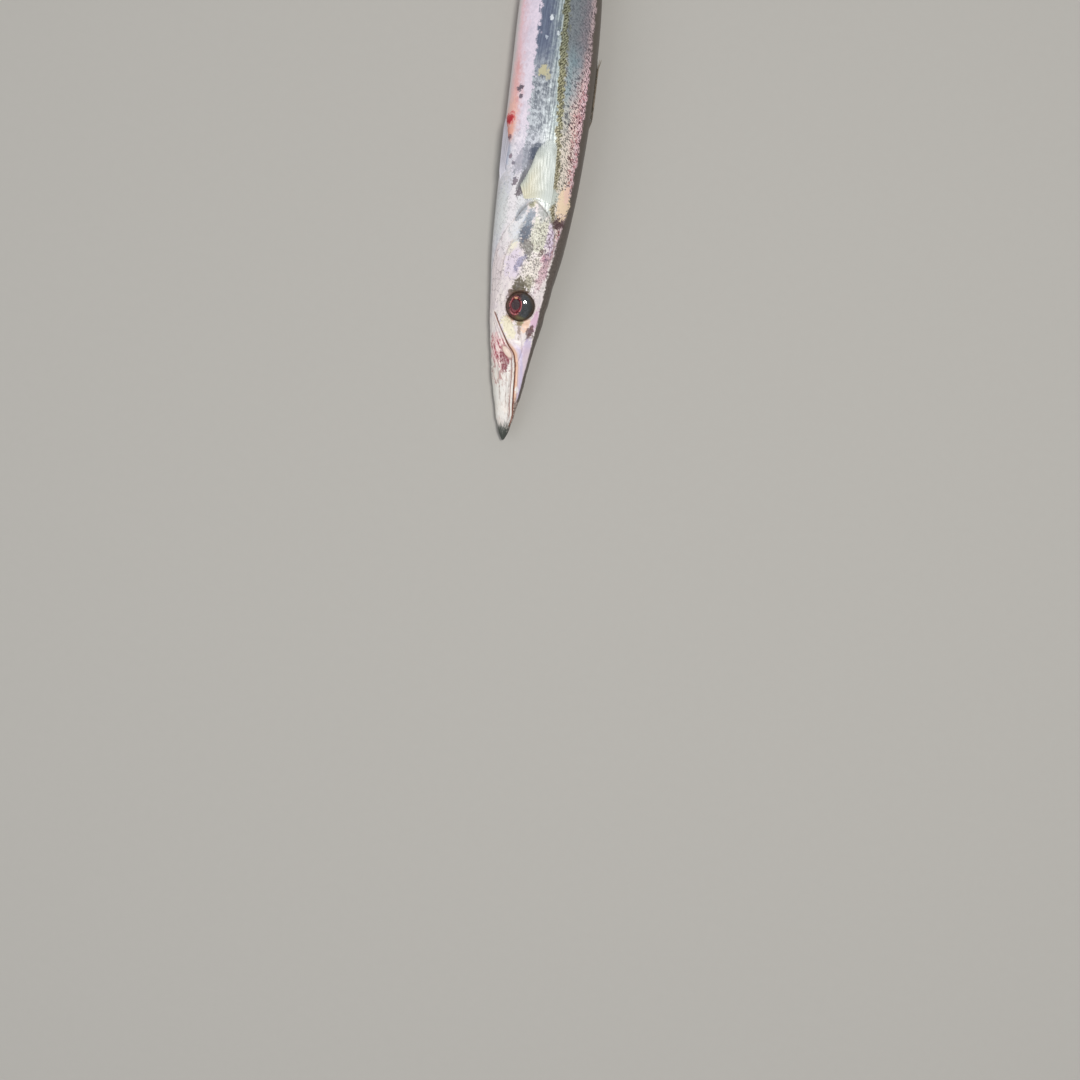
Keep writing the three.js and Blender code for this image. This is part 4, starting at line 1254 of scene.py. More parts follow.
def line_folds(points, at, up):
    """How far the folds along the head's lines stand out, and how much painted shade each point gets in a
    groove.
    """
    rise = np.zeros(len(at))
    crease = np.zeros(len(at))
    for line, folds in HEAD_FOLDS:
        distance, share = Trace(line).measure(points, at, up)
        ends = closest_to_ends(share, 0.08)
        for aside, height, width in folds:
            fold = hump(distance - aside, width) * ends
            rise += height * fold
            if height < 0:
                crease = np.maximum(crease, fold * np.clip(-height / 0.1 - 1, 0, 1))
    return rise, crease


def jaw_plate(points, at, up):
    """How far the bone of the upper jaw stands out, as a flat plate with a shallow hollow round it."""
    plate = -Trace(MAXILLA + MAXILLA[:1]).measure(points, at, up)[0]
    return 0.3 * smooth(-0.12, 0.22, plate) - 0.12 * hump(plate + 0.3, 0.25)


def gill_forms(at, up, gill, share):
    """The gill cover's raised edge, the slit behind it and the pleats of the throat, and the painted shade of
    the slit.
    """
    ends = closest_to_ends(share, 0.1)
    edge = 0.26 * smooth(0.12, -0.22, gill) * np.exp(np.minimum(gill, 0) / 4) * ends
    slit = 0.26 * hump(gill - 0.3, 0.35) * ends
    throat = smooth(-8.2, -9.4, up) * smooth(45, 51, at) * smooth(-0.5, -1.1, gill)
    pleats = 0.05 * throat * np.cos(gill * (2 * math.pi / PLEAT_LENGTH))
    crease = 0.5 * hump(gill - 0.25, 0.25) * ends * smooth(-7, -4, up)
    return edge - slit + pleats, crease


def eye_socket(at, up):
    """The raised rim round the eye and the hollow that it sits in, and the shade between the two."""
    eye = np.hypot(at - EYE_AT, up - EYE_UP)
    rim = 0.2 * hump(eye - ORBIT_RADIUS - 0.45, 0.45)
    hollow = SOCKET_DEPTH * smooth(ORBIT_RADIUS + 0.15, 4.8, eye)
    return rim - hollow, 0.7 * hump(eye - ORBIT_RADIUS, 0.3)


def nostril_forms(at, up):
    """The two small nostrils before the eye, each with a low rim, and their shade."""
    rise = np.zeros(len(at))
    crease = np.zeros(len(at))
    for place, height, radius in NOSTRILS:
        away = np.hypot(at - place, up - height)
        rise += 0.12 * hump(away - radius - 0.3, 0.25) - 0.6 * smooth(radius + 0.2, radius - 0.2, away)
        crease = np.maximum(crease, smooth(radius + 0.25, radius - 0.1, away))
    return rise, crease


def swellings(at, up, gill):
    """The swelling by the mouth and the fleshy foot of the pectoral fin."""
    place, height, reach, narrow, lean = OVAL
    c, s = math.cos(math.radians(lean)), math.sin(math.radians(lean))
    along = (at - place) * c + (up - height) * s
    across = (up - height) * c - (at - place) * s
    oval = smooth(1.25, 0.5, np.hypot(along / reach, across / narrow))
    foot = hump(np.hypot((at - 84.6) / 2.6, (up - FIN_FOOT.up) / 4.2), 1) * smooth(0.2, 0.8, gill)
    return 0.3 * oval + 0.3 * foot


def unevenness(points, at, gill):
    """The bones under the head's skin, as waves of three sizes."""
    head = smooth(2, 12, at) * smooth(0.6, -0.6, gill)
    return head * sum(depth * waves(points, length, seed) for depth, length, seed in HEAD_WAVES)


def relief(at, degrees):
    """How far the fish's fine forms stand out of its plain body, and how much painted shade each gets in its
    grooves.
    """
    points = skin(at, degrees)
    up = up_of(at, degrees)
    gill, share = behind_gills(points, at, up)
    forms = (
        line_folds(points, at, up),
        gill_forms(at, up, gill, share),
        eye_socket(at, up),
        nostril_forms(at, up),
    )
    rise = sum(form[0] for form in forms)
    rise += jaw_plate(points, at, up) + swellings(at, up, gill) + unevenness(points, at, gill)
    crown_trough = hump(degrees, 9) * smooth(22, 30, at) * smooth(64, 56, at)
    rise -= 0.16 * crown_trough
    scaly = np.maximum(smooth(0.2, 1.2, gill), on_nape(at, degrees))
    return rise - SCALE_DEPTH * scaly, gill, np.max([form[1] for form in forms], axis=0)


def make_skin(rings, sides, material):
    """One closed skin for the whole body, with a line of its mesh along the mouth."""
    piece, ring, side = ball("skin", rings, sides)
    right = round(sides * RIGHT_SIDES)
    marks = np.array((0, NOSE_RINGS, HEAD_RINGS * rings, rings - END_RINGS, rings))
    at = np.interp(ring, marks, (0, NOSE_ROUNDED, SHOULDER, ROUNDED_FROM, FLESH_END))
    share = np.where(side <= right, side / right, (sides - side) / (sides - right))
    line = spline(MOUTH, np.linspace(0, 1, 60))
    stations = np.append(line[:, 0], SEAM_STATIONS)
    angles = np.append(angle_of(line[:, 0], line[:, 1]), SEAM_ANGLES)
    seam = np.interp(at, stations, angles)
    above = np.clip(share * 2, 0, 1)
    below = np.clip(share * 2 - 1, 0, 1)
    degrees = seam * (above + CLOSER_AT_MOUTH * above * (1 - above))
    degrees += (180 - seam) * (below - CLOSER_AT_MOUTH * below * (1 - below))
    flank = np.where(side <= right, 1.0, -1.0)

    rise = np.full(len(at), -SCALE_DEPTH)
    gill = np.full(len(at), FAR_FROM_GILLS)
    mouth = np.full(len(at), FAR_FROM_MOUTH)
    crease = np.zeros(len(at))
    head = at < HEAD_FORMS_END
    rise[head], gill[head], crease[head] = relief(at[head], degrees[head])
    groove = hump(degrees, 4.5) * smooth(*SPINE_GROOVE[0], at) * smooth(*SPINE_GROOVE[1], at)
    vent = hump(np.hypot((at - VENT_AT) / 1.6, (180 - degrees) / 5), 1)
    rise -= 0.5 * groove + 0.5 * vent
    plain = skin(at[head], degrees[head])
    mouth[head] = MOUTH_TRACE.measure(plain, at[head], up_of(at[head], degrees[head]))[0]

    points = skin(at, flank * degrees, rise)
    for end in (0, rings):
        pole = ring == end
        part = section(at[pole])
        points[pole, 0] = part.middle + sway(at[pole])
        points[pole, 2] = part.level
    points[:, 2] = np.maximum(points[:, 2], 0)
    lay(piece, points)
    even = np.full(len(at), 0.5)
    note_markings(piece, at, degrees, flank, even, mouth=mouth, gill=gill, crease=crease)
    unwrap(piece, ring, side, rings, sides)
    face_outwards(piece)
    finish_piece(
        piece, material, "flesh",
        "head", "lower_jaw", "gill_cover_right", "gill_cover_left", "trunk", "tail",
    )


def unwrap(piece, ring, side, rings, sides):
    """Unrolls the skin, from its back round by the right side, and from jaw to tail."""
    mesh = piece.data
    owner = corner_vertices(mesh)
    corners = np.zeros(len(mesh.polygons), np.int32)
    mesh.polygons.foreach_get("loop_total", corners)
    face = np.repeat(np.arange(len(corners)), corners)
    around = side[owner] / sides
    pole = (ring[owner] == 0) | (ring[owner] == rings)
    widest = np.zeros(len(corners))
    np.maximum.at(widest, face, np.where(pole, 0, around))
    around = np.where((around < 0.25) & (widest[face] > 0.75), around + 1, around)
    around = np.where(pole, widest[face], around)
    add_bake_map(mesh, np.stack([around, ring[owner] / rings], -1))


def scale_places(rows, start, end, pitch, gap, wanted, seed):
    """Roots of scales: even rows round the body, every other row set back by half a scale."""
    draw = np.random.default_rng(seed)
    found = []
    for row in range(-SCALE_ROWS, SCALE_ROWS + 1):
        at = np.arange(start + (row % 2) * pitch / 2, end, pitch)
        at = at + draw.normal(0, PLACE_SCATTER[0] * pitch, len(at))
        arc = np.full(len(at), row * gap) + draw.normal(0, PLACE_SCATTER[1] * gap, len(at))
        angle = rows.angle(at, arc)
        kept = (angle > -PAST_RIDGE) & (angle < 180 + PAST_RIDGE)
        kept &= wanted(at, np.clip(angle, 0.5, 179.5))
        found.append(np.stack([at[kept], arc[kept]], -1))
    return np.concatenate(found)


def on_body(at, degrees):
    """Whether a place carries the body's scales."""
    up = up_of(at, degrees)
    gill = gill_distance(at, degrees, up)
    foot = (at > FIN_FOOT.start) & (at < FIN_FOOT.end) & (np.abs(up - FIN_FOOT.up) < FIN_FOOT.reach)
    return ((gill > 0.55) | (on_nape(at, degrees) > 0.5)) & ~foot & (at < FLESH_END - 2.5)


def on_cheek(at, degrees):
    """Whether a place carries the smaller scales of the cheek and the upper gill cover."""
    up = up_of(at, degrees)
    points = skin(at, degrees)
    gill = behind_gills(points, at, up)[0]
    groove = np.abs(Trace(PREOPERCLE).measure(points, at, up)[0])
    cheek = (at > 55.6) & (up > -6) & (up < 8.6) & (gill < -1.2) & (groove > 0.6)
    edge = Trace(CHEEK_EDGE).measure(points, at, up)[0]
    return cheek & (edge > 0.4) & (on_nape(at, degrees) < 0.5)


def make_scales(sizes, material):
    """The body's scales on both flanks, in rows that overlap towards the tail."""
    rows = Rows(58, FLESH_END)
    pitch, gap = sizes.scale_pitch / MM, sizes.scale_gap / MM
    places = scale_places(rows, 60, FLESH_END, pitch, gap, on_body, sizes.seed)
    form = scale_form()
    hind = places[:, 0] > SCALES_PARTED
    for name, side in (("right", 1), ("left", -1)):
        for part, wanted in (("shoulder", ~hind), ("tail", hind)):
            piece = coat(
                f"scales_{part}_{name}", form, rows, places[wanted], side, length=2.3 * pitch,
                width=1.9 * gap, lift=-0.01, tilt=0.024, thickness=0.028, seed=sizes.seed + side,
            )
            finish_piece(piece, material, "flesh", sharp_rims=True)


def make_head_scales(sizes, material):
    """Smaller scales on the cheeks and the upper gill covers."""
    rows = Rows(50, 90)
    pitch, gap = 0.66 * sizes.scale_pitch / MM, 0.68 * sizes.scale_gap / MM
    places = scale_places(rows, 55, 84, pitch, gap, on_cheek, sizes.seed + 5)
    form = scale_form()
    for name, side in (("cheek_scales_right", 1), ("cheek_scales_left", -1)):
        piece = coat(
            name, form, rows, places, side, length=1.9 * pitch, width=1.7 * gap, lift=0.06,
            tilt=0.07, thickness=0.05, seed=sizes.seed + 5 + side,
        )
        finish_piece(piece, material, "flesh", sharp_rims=True)


def make_lateral_line(sizes, material):
    """A row of small raised tubes, one on each scale of the lateral line."""
    rows = Rows(58, FLESH_END)
    pitch = sizes.scale_pitch / MM
    at = np.arange(84, FLESH_END - 4, pitch)
    places = np.stack([at, np.zeros(len(at))], -1)
    form = bead_form()
    for name, side in (("lateral_line_right", 1), ("lateral_line_left", -1)):
        piece = coat(
            name, form, rows, places, side, length=0.95 * pitch, width=0.3, lift=0.05,
            tilt=0.04, thickness=0.09, seed=sizes.seed + 9 + side,
        )
        finish_piece(piece, material, "flesh")


def eye_place(points, side):
    """Sets a lens, with its front along +Z, into the right or the left side of the head."""
    ends = skin(
        (EYE_AT - EYE_RADIUS, EYE_AT + EYE_RADIUS),
        side * angle_of((EYE_AT - EYE_RADIUS, EYE_AT + EYE_RADIUS), EYE_UP),
    )
    slope = math.atan2(ends[1, 2] - ends[0, 2], ends[1, 1] - ends[0, 1])
    x, y, z = points[:, 0], points[:, 1], side * points[:, 2]
    turned = np.stack([
        x + EYE_UP,
        y * math.cos(slope) - z * math.sin(slope) + EYE_AT,
        y * math.sin(slope) + z * math.cos(slope) + section(EYE_AT).level + side * (EYE_REACH - EYE_DOME),
    ], -1)
    turned[:, 2] = np.maximum(turned[:, 2], FLOOR_CLEAR)
    return turned


def make_eye(name, side, iris, clear):
    """An eyeball with a sunken pupil, and the clear dome over it."""
    ball_piece, _, _ = ball("eyeball_" + name, *EYEBALL_MESH)
    round_points = corners_of(ball_piece)
    x, y = round_points[:, 0] * EYE_RADIUS, round_points[:, 1] * EYE_RADIUS
    pupil = np.hypot((x - PUPIL[0]) / PUPIL[2], (y - PUPIL[1]) / PUPIL[3])
    away = np.hypot(x, y) / EYE_RADIUS
    front = EYE_FRONT * np.sqrt(np.maximum(0, 1 - away**4)) - PUPIL_SUNK * smooth(1.08, 0.9, pupil)
    front += PUPIL_RIM * hump(pupil - 1.22, 0.14)
    folds = np.cos(np.arctan2(y, x - PUPIL[0]) * IRIS_FOLDS) * smooth(1.1, 1.6, pupil)
    front -= IRIS_FOLD_DEPTH * folds * (1 - away**4)
    height = np.where(round_points[:, 2] > 0.02, front, round_points[:, 2] * EYEBALL_BACK)
    lay(ball_piece, eye_place(np.stack([x, y, height], -1), side))
    note(ball_piece, "eye_up", x)
    note(ball_piece, "eye_along", y)
    face_outwards(ball_piece)
    finish_piece(ball_piece, iris, "eye", "eye_" + name)

    dome, _, _ = ball("eye_dome_" + name, *DOME_MESH)
    points = corners_of(dome)
    points[:, :2] *= EYE_RADIUS + DOME_OVERLAP
    points[:, 2] *= np.where(points[:, 2] > 0, EYE_DOME, DOME_BACK)
    lay(dome, eye_place(points, side))
    face_outwards(dome)
    finish_piece(dome, clear, "eye")


# Each fin on the body's edge: its rays, where its root starts and ends, the length of its first and
# last ray, how the rays shorten, the slant of the first and last ray in degrees, how far they bow
# outwards, and the way up or down.
SECOND_DORSAL = SimpleNamespace(
    rays=10, start=165, end=189, first=21.5, last=11, fade=0.42, lean=(44, 14), bow=0.8, sign=1,
)
ANAL = SimpleNamespace(
    rays=11, start=169, end=191, first=20.5, last=10.5, fade=0.42, lean=(44, 14), bow=0.8, sign=-1,
)
LEAN_FADE = 0.7
FIN_DROOP = 0.008
ROOT_SUNK = 1.5
TAIL_RAYS = 10
TAIL_FIRST = 44
TAIL_LAST = 14
TAIL_FADE = 0.5
TAIL_LEAN = (25, 3)
TAIL_TIP_LEVEL = 0.75
TAIL_SETTLE = 0.7  # the share of its length in which the tail fin sinks to the floor
PECTORAL_RAYS = 13
PECTORAL_ROOT = ((82.0, 6.0), (82.6, -3.5))
PECTORAL_TIPS = ((101.5, 5.0), (103.6, 2.8), (99.8, -0.6), (92.8, -2.4), (86.6, -4.7))
PECTORAL_LIFT = 1.5  # how far the fin's end stands off the flank
PECTORAL_SUNK, PELVIC_SUNK = 0.2, 0.3  # how deep their roots sit in the skin
PELVIC_RAYS = 6
PELVIC_ROOT = ((88, 18), (91, 34))
PELVIC_TIPS = ((107, 17), (110.5, 24), (101, 40))
SPINES = 5
SPINE_FROM, SPINE_TO = 109, 125
SPINE_FIRST, SPINE_LAST = 26, 11.5
SPINE_RINGS, SPINE_SIDES = 28, 10
SPINE_TAPER = 0.8
SPINE_ASIDE = (-0.35, 0.4)  # they lie by turns to the one and to the other side of the ridge
TIP_OFF, LAST_TIP_OFF = 0.25, 0.9  # how far the spines' tips stand off the back
MEMBRANE_FOLDS = 12  # the folds of the membrane between the spines
COLUMNS_PER_RAY = 12
THINNED_OUT = 0.72  # how much thinner a fin is at its edge than at its root


def standing(fin, across, out):
    """A fin on the body's edge, as stations and heights: shares across it and out along its rays."""
    foot = fin.start + (fin.end - fin.start) * across
    part = section(foot)
    edge = part.middle + fin.sign * part.reach
    length = fin.last + (fin.first - fin.last) * (1 - across) ** (1 / fin.fade)
    slant = np.radians(fin.lean[0] + (fin.lean[1] - fin.lean[0]) * across**LEAN_FADE)
    reach = (length + ROOT_SUNK) * out - ROOT_SUNK
    rise = np.sin(slant) * reach + fin.bow * (1 - (1 - out) ** 2)
    return foot + np.cos(slant) * reach, edge + fin.sign * rise


def in_plane(at, up):
    """Places in the fish's middle plane, from which a fin sinks a little towards the floor."""
    part = section(at)
    clear = np.maximum(0, np.where(up > 0, up - part.middle - part.reach, part.middle - part.reach - up))
    return np.stack([up + sway(at), at, size(at, LEVEL) - FIN_DROOP * clear**2], -1)


def tail_lobe(sign, across, out):
    """The upper or the lower half of the tail fin."""
    part = section(np.array(float(TAIL_ROOT)))
    edge = part.middle + sign * part.reach
    length = TAIL_LAST + (TAIL_FIRST - TAIL_LAST) * (1 - across) ** (1 / TAIL_FADE)
    slant = np.radians(TAIL_LEAN[0] + (TAIL_LEAN[1] - TAIL_LEAN[0]) * across**LEAN_FADE)
    reach = length * out
    at = TAIL_ROOT + np.cos(slant) * reach
    up = edge * (1 - across) - 0.1 * sign * across + sign * np.sin(slant) * reach
    settled = np.minimum(1, (at - TAIL_ROOT) / (TAIL_SETTLE * TAIL_FIRST))
    height = size(TAIL_ROOT, LEVEL) * (1 - settled) + TAIL_TIP_LEVEL * settled
    return np.stack([up + sway(at), at, height], -1)


def fanned(root, tips, across, out):
    """A fin that grows on the flank, fanned between a line of roots and a line of tips."""
    foot = spline(root, across)
    tip = spline(tips, across)
    point = foot + (tip - foot) * out[:, None]
    return point[:, 0], point[:, 1]


def ray_ridge(rays, across, out, branch_from=0.42):
    """1 along each ray of a fin, which parts in two on its way out, and 0 on the membrane."""
    pitch = across * rays - 0.5
    nearest = np.clip(np.rint(pitch), 0, rays - 1)
    aside = np.abs(pitch - nearest)
    parted = 0.24 * smooth(branch_from, 0.95, out) * (nearest > 0)
    thin = 0.19 - 0.1 * out + 0.07 * (nearest == 0)
    return np.exp(-(((aside - parted) / thin) ** 2))


def thicken(piece, thickness, shares):
    """Gives a sheet its wall, thinner where a vertex's share is less."""
    group = piece.vertex_groups.new(name="thickness")
    for i, share in enumerate(shares):
        group.add([i], float(share), "REPLACE")
    select_only(piece)
    wall = piece.modifiers.new("wall", "SOLIDIFY")
    wall.thickness = thickness * MM
    wall.offset = 0
    wall.vertex_group = "thickness"
    bpy.ops.object.modifier_apply(modifier="wall")


def make_fin(name, place, rays, thickness, material, slot, node, frayed=0.05, rows=44, web=0.28, seed=1):
    """A thin fin with its rays raised on both faces and its edge notched between them."""
    piece, across, out = grid(name, rays * COLUMNS_PER_RAY, rows)
    ridge = ray_ridge(rays, across, out)
    draw = np.random.default_rng(seed)
    tears = np.interp(across, np.linspace(0, 1, 2 * rays), draw.uniform(0.2, 1.0, 2 * rays))
    reach = out * (1 - frayed * tears * (1 - ridge) * smooth(0.5, 1, out))
    points = place(across, reach)
    points[:, 2] += thickness * 0.35 * waves(points, 7, seed) * smooth(0.05, 0.5, out)
    points[:, 2] = np.maximum(points[:, 2], thickness * 0.6)
    lay(piece, points)
    note(piece, "ridge", ridge)
    note(piece, "out", out)
    note(piece, "across", across)
    thicken(piece, thickness, (web + (1 - web) * ridge) * (1 - THINNED_OUT * out))
    face_outwards(piece)
    finish_piece(piece, material, slot, node)


def make_paired_fins(sizes, pectoral, pelvic):
    """The pectoral and pelvic fins, folded back along the flanks."""
    lift = FIN_PLANE - FLAT_FIN
    for name, side in (("right", 1), ("left", -1)):
        def on_flank(across, out):
            at, up = fanned(PECTORAL_ROOT, PECTORAL_TIPS, across, out)
            rise = (lift + PECTORAL_SUNK) * smooth(0, 0.2, out) + PECTORAL_LIFT * out**1.3
            grow = rise - PECTORAL_SUNK
            points = skin(at, side * angle_of(at, up), grow)
            points[:, 2] = np.maximum(points[:, 2], 0.25)
            return points

        def by_keel(across, out):
            at, spread = fanned(PELVIC_ROOT, PELVIC_TIPS, across, out)
            grow = (lift + PELVIC_SUNK) * smooth(0, 0.25, out) + 0.4 * out - PELVIC_SUNK
            return skin(at, side * (180 - spread), grow)

        make_fin("pectoral_" + name, on_flank, PECTORAL_RAYS, sizes.fin_thickness / MM, pectoral,
                 "fin", "pectoral_fin_" + name, frayed=0.03, web=0.7, seed=11 + side)
        make_fin("pelvic_" + name, by_keel, PELVIC_RAYS, sizes.fin_thickness / MM, pelvic,
                 "fin", "pelvic_fin_" + name, seed=21 + side)


def make_soft_fins(sizes, material):
    """The second dorsal fin and the anal fin, half folded."""
    for name, fin, node in (
        ("soft_dorsal", SECOND_DORSAL, "second_dorsal_fin"),
        ("anal", ANAL, "anal_fin"),
    ):
        def place(across, out):
            return in_plane(*standing(fin, across, out))

        make_fin(name, place, fin.rays, 1.2 * sizes.fin_thickness / MM, material, "fin", node, seed=31)


def make_tail_fin(sizes, material):
    """The two lobes of the forked tail fin."""
    for name, sign, node in (("upper", 1, "tail_fin_upper"), ("lower", -1, "tail_fin_lower")):
        def place(across, out):
            return tail_lobe(sign, across, out)

        make_fin("tail_lobe_" + name, place, TAIL_RAYS, 1.5 * sizes.fin_thickness / MM, material,
                 "fin", node, rows=60, seed=41 + sign)


def make_spine(number, radius):
    """One of the folded spines, from its root in the groove to its tip just off the back."""
    share = number / (SPINES - 1)
    start = SPINE_FROM + (SPINE_TO - SPINE_FROM) * share
    length = SPINE_FIRST + (SPINE_LAST - SPINE_FIRST) * share
    rod, ring, turn = ball("spine", SPINE_RINGS, SPINE_SIDES)
    out = ring / SPINE_RINGS
    angle = turn / SPINE_SIDES * 2 * math.pi
    blunt = np.sqrt(np.clip(np.minimum(out, 1 - out) * 20, 0, 1))
    thick = radius * (1 - SPINE_TAPER * out) * blunt
    aside = SPINE_ASIDE[number % 2] * smooth(0.05, 0.5, out) - 0.1
    tip_off = LAST_TIP_OFF if number == SPINES - 1 else TIP_OFF
    rise = -0.8 + 1.2 * smooth(0, 0.25, out) + tip_off * smooth(0.6, 1, out)
    places = skin(start + length * out, 0.0, rise)
    places[:, 0] += thick * np.cos(angle)
    places[:, 2] += aside + thick * np.sin(angle)
    lay(rod, places)
    note(rod, "out", out)
    face_outwards(rod)
    return rod


def make_first_dorsal(sizes, spine, membrane):
    """Five slender spines folded back into their groove, with the dark membrane between them."""
    made = [make_spine(number, sizes.spine_radius / MM) for number in range(SPINES)]
    select_only(*made)
    bpy.ops.object.join()
    spines = made[0]
    spines.name = spines.data.name = "first_dorsal_spines"
    finish_piece(spines, spine, "back_fin", "first_dorsal_fin")

    def folded(across, out):
        at = SPINE_FROM - 1 + (SPINE_TO + SPINE_LAST - SPINE_FROM) * across
        ends = smooth(0, 0.3, across) * smooth(1.0, 0.82, across)
        free = 0.1 + 0.65 * smooth(0, 0.25, across) + ends * (0.5 + 0.1 * np.sin(at * 0.9))
        rise = -0.7 + free * out
        points = skin(at, 0.0, rise)
        points[:, 2] += (0.5 * np.sin(at * 0.55) + 0.2 * np.sin(at * 1.7 + 1)) * out * ends - 0.05
        return points

    make_fin("first_dorsal_membrane", folded, MEMBRANE_FOLDS, 1.5 * sizes.fin_thickness / MM,
             membrane, "back_fin", "first_dorsal_fin", frayed=0.06, rows=14, seed=51)


def fresh(name, make, *values):
    """A material by its name, made the first time that it is asked for."""
    return bpy.data.materials.get(name) or make(*values)


class BarracudaSizes(bpy.types.PropertyGroup):
    """How fine the barracuda's scales, fins and skin are"""
    scale_pitch: FloatProperty(
        name="Scale pitch", description="From one scale to the next along the body",
        default=0.0012, min=0.001, unit="LENGTH",
    )
    scale_gap: FloatProperty(
        name="Scale rows", description="From one row of scales to the next round the body",
        default=0.00098, min=0.0008, unit="LENGTH",
    )
    fin_thickness: FloatProperty(
        name="Fin thickness", description="Thickness of a soft fin at the roots of its rays",
        default=0.0005, unit="LENGTH",
    )
    spine_radius: FloatProperty(
        name="Spine radius", description="Radius of a spine of the first dorsal fin at its root",
        default=0.00042, unit="LENGTH",
    )
    rings: IntProperty(name="Rings", description="Rings of the skin from jaw to tail", default=470)
    sides: IntProperty(name="Sides", description="Sides of each ring of the skin", default=206)
    seed: IntProperty(name="Seed", description="Start of the scales' unevenness", default=7)


class BarracudaColours(bpy.types.PropertyGroup):
    """The colours of its fins and eyes, and of the floor"""
    pupil: FloatVectorProperty(
        name="Pupil", description="The middle of the eye", subtype="COLOR", default=srgb(46, 14, 26),
    )
    pectoral: FloatVectorProperty(
        name="Pectoral fins", description="The membrane of the fins behind the head", subtype="COLOR",
        default=srgb(224, 230, 224),
    )
    soft_fins: FloatVectorProperty(
        name="Soft fins", description="The membrane of the fins of back, belly and tail",
        subtype="COLOR", default=srgb(182, 176, 146),
    )
    floor: FloatVectorProperty(
        name="Floor", description="The studio floor", subtype="COLOR", default=srgb(184, 181, 175),
    )


class BarracudaLight(bpy.types.PropertyGroup):
    """The light that it is seen in"""
    key: FloatProperty(name="Key light", description="Power of the key light", default=8.8, unit="POWER")
    fill: FloatProperty(name="Fill light", description="Power of the fill", default=4.0, unit="POWER")
    around: FloatProperty(name="Surroundings", description="Brightness of the pale room", default=0.3)


def flesh_material():
    """The one finish of the skin and of all that grows on it."""
    return fresh("barracuda_skin", flesh_finish)


def fin_material(name, colour, ray, edge, clearness, far_side=None, bold=0.6, faded=0.0):
    """The finish of one kind of fin. Its far side is like the near one, where no colour is given."""
    last = tuple(colour) if far_side is None else far_side
    return fresh(name, fin_finish, name, tuple(colour), ray, edge, clearness, last, bold, faded)


FLOOR_SIZE = 6
LAMPS_AIM = (0.0, 90.0, 8.0)  # up, station and height over the floor
KEY_PLACE = (0.17, -0.06, 1.2)  # metres from there, high over the fish's back
KEY_SIZE = 0.2
KEY_COLOUR = (1.0, 0.985, 0.96)
FILL_PLACE = (-0.9, -0.4, 1.1)
FILL_SIZE = 1.2
FILL_COLOUR = (0.93, 0.96, 1.0)
ROOM_COLOUR = (0.95, 0.97, 1.0, 1)

# The photograph's frame: what it shows of the fish's own axes, and how the camera stands over it.
VIEW_CENTRE = (17.7, -33.3)  # up and station of the middle of the picture
VIEW_WIDTH = 378
VIEW_HEIGHT = 611  # of the camera over the floor
VIEW_REACH = 600  # from the camera to the plane that is VIEW_WIDTH wide
PICTURE_UP = (-0.134, 0.991)


def make_floor(colours):
    """A plain pale floor."""
    deselect_all()
    bpy.ops.mesh.primitive_plane_add(size=FLOOR_SIZE, location=(0, 0, 0))
    floor = bpy.context.object
    floor.name = "studio_floor"
    floor.data.materials.append(fresh("studio_floor", floor_finish, colours))


def make_light(light):
    """Two soft lamps over the fish, in a pale room."""
    target = Vector(in_frame(np.array(LAMPS_AIM)))
    for name, power, width, place, colour in (
        ("key", light.key, KEY_SIZE, KEY_PLACE, KEY_COLOUR),
        ("fill", light.fill, FILL_SIZE, FILL_PLACE, FILL_COLOUR),
    ):
        bpy.ops.object.light_add(type="AREA", location=target + Vector(place))
        lamp = bpy.context.object
        lamp.name = name
        lamp.data.energy = power
        lamp.data.size = width
        lamp.data.color = colour
        lamp.rotation_euler = (-Vector(place)).to_track_quat("-Z", "Y").to_euler()

    world = bpy.data.worlds.new("pale_room")
    world.use_nodes = True
    room = world.node_tree.nodes["Background"]
    room.inputs["Color"].default_value = ROOM_COLOUR
    room.inputs["Strength"].default_value = light.around
    bpy.context.scene.world = world


def make_camera():
    """A camera that looks straight down, with the photograph's frame."""
    centre = Vector(in_frame(np.array((*VIEW_CENTRE, 0.0))))
    bpy.ops.object.camera_add(location=centre + Vector((0, 0, VIEW_HEIGHT * MM)))
    camera = bpy.context.object
    up = Vector((*PICTURE_UP, 0)).normalized()
    right = up.cross(Vector((0, 0, 1)))
    turn = Matrix((right, up, Vector((0, 0, 1)))).transposed()
    camera.rotation_euler = turn.to_euler()
    camera.data.sensor_fit = "HORIZONTAL"
    camera.data.angle = 2 * math.atan(VIEW_WIDTH / 2 / VIEW_REACH)
    camera.data.clip_start = 0.01
    bpy.context.scene.camera = camera
    bpy.context.scene.view_settings.view_transform = "Standard"


class BARRACUDA_OT_stage(bpy.types.Operator):
    """Adds the pale floor, the soft light and the camera of the photograph"""
    bl_idname = "barracuda.stage"
    bl_label = "Stage"

    def execute(self, context):
        make_floor(context.scene.barracuda_colours)
        make_light(context.scene.barracuda_light)
        make_camera()
        return {"FINISHED"}


class BARRACUDA_OT_skin(bpy.types.Operator):
    """Adds the skin of head and body, with its mouth, gill covers, nostrils and eye sockets"""
    bl_idname = "barracuda.skin"
    bl_label = "Skin"

    def execute(self, context):
        sizes = context.scene.barracuda_sizes
        make_skin(sizes.rings, sizes.sides, flesh_material())
        return {"FINISHED"}


class BARRACUDA_OT_scales(bpy.types.Operator):
    """Adds the overlapping scales of the body"""
    bl_idname = "barracuda.scales"
    bl_label = "Body scales"

    def execute(self, context):
        make_scales(context.scene.barracuda_sizes, flesh_material())
        return {"FINISHED"}


class BARRACUDA_OT_head_scales(bpy.types.Operator):
    """Adds the small scales of the cheeks and gill covers"""
    bl_idname = "barracuda.head_scales"
    bl_label = "Cheek scales"

    def execute(self, context):
        make_head_scales(context.scene.barracuda_sizes, flesh_material())
        return {"FINISHED"}


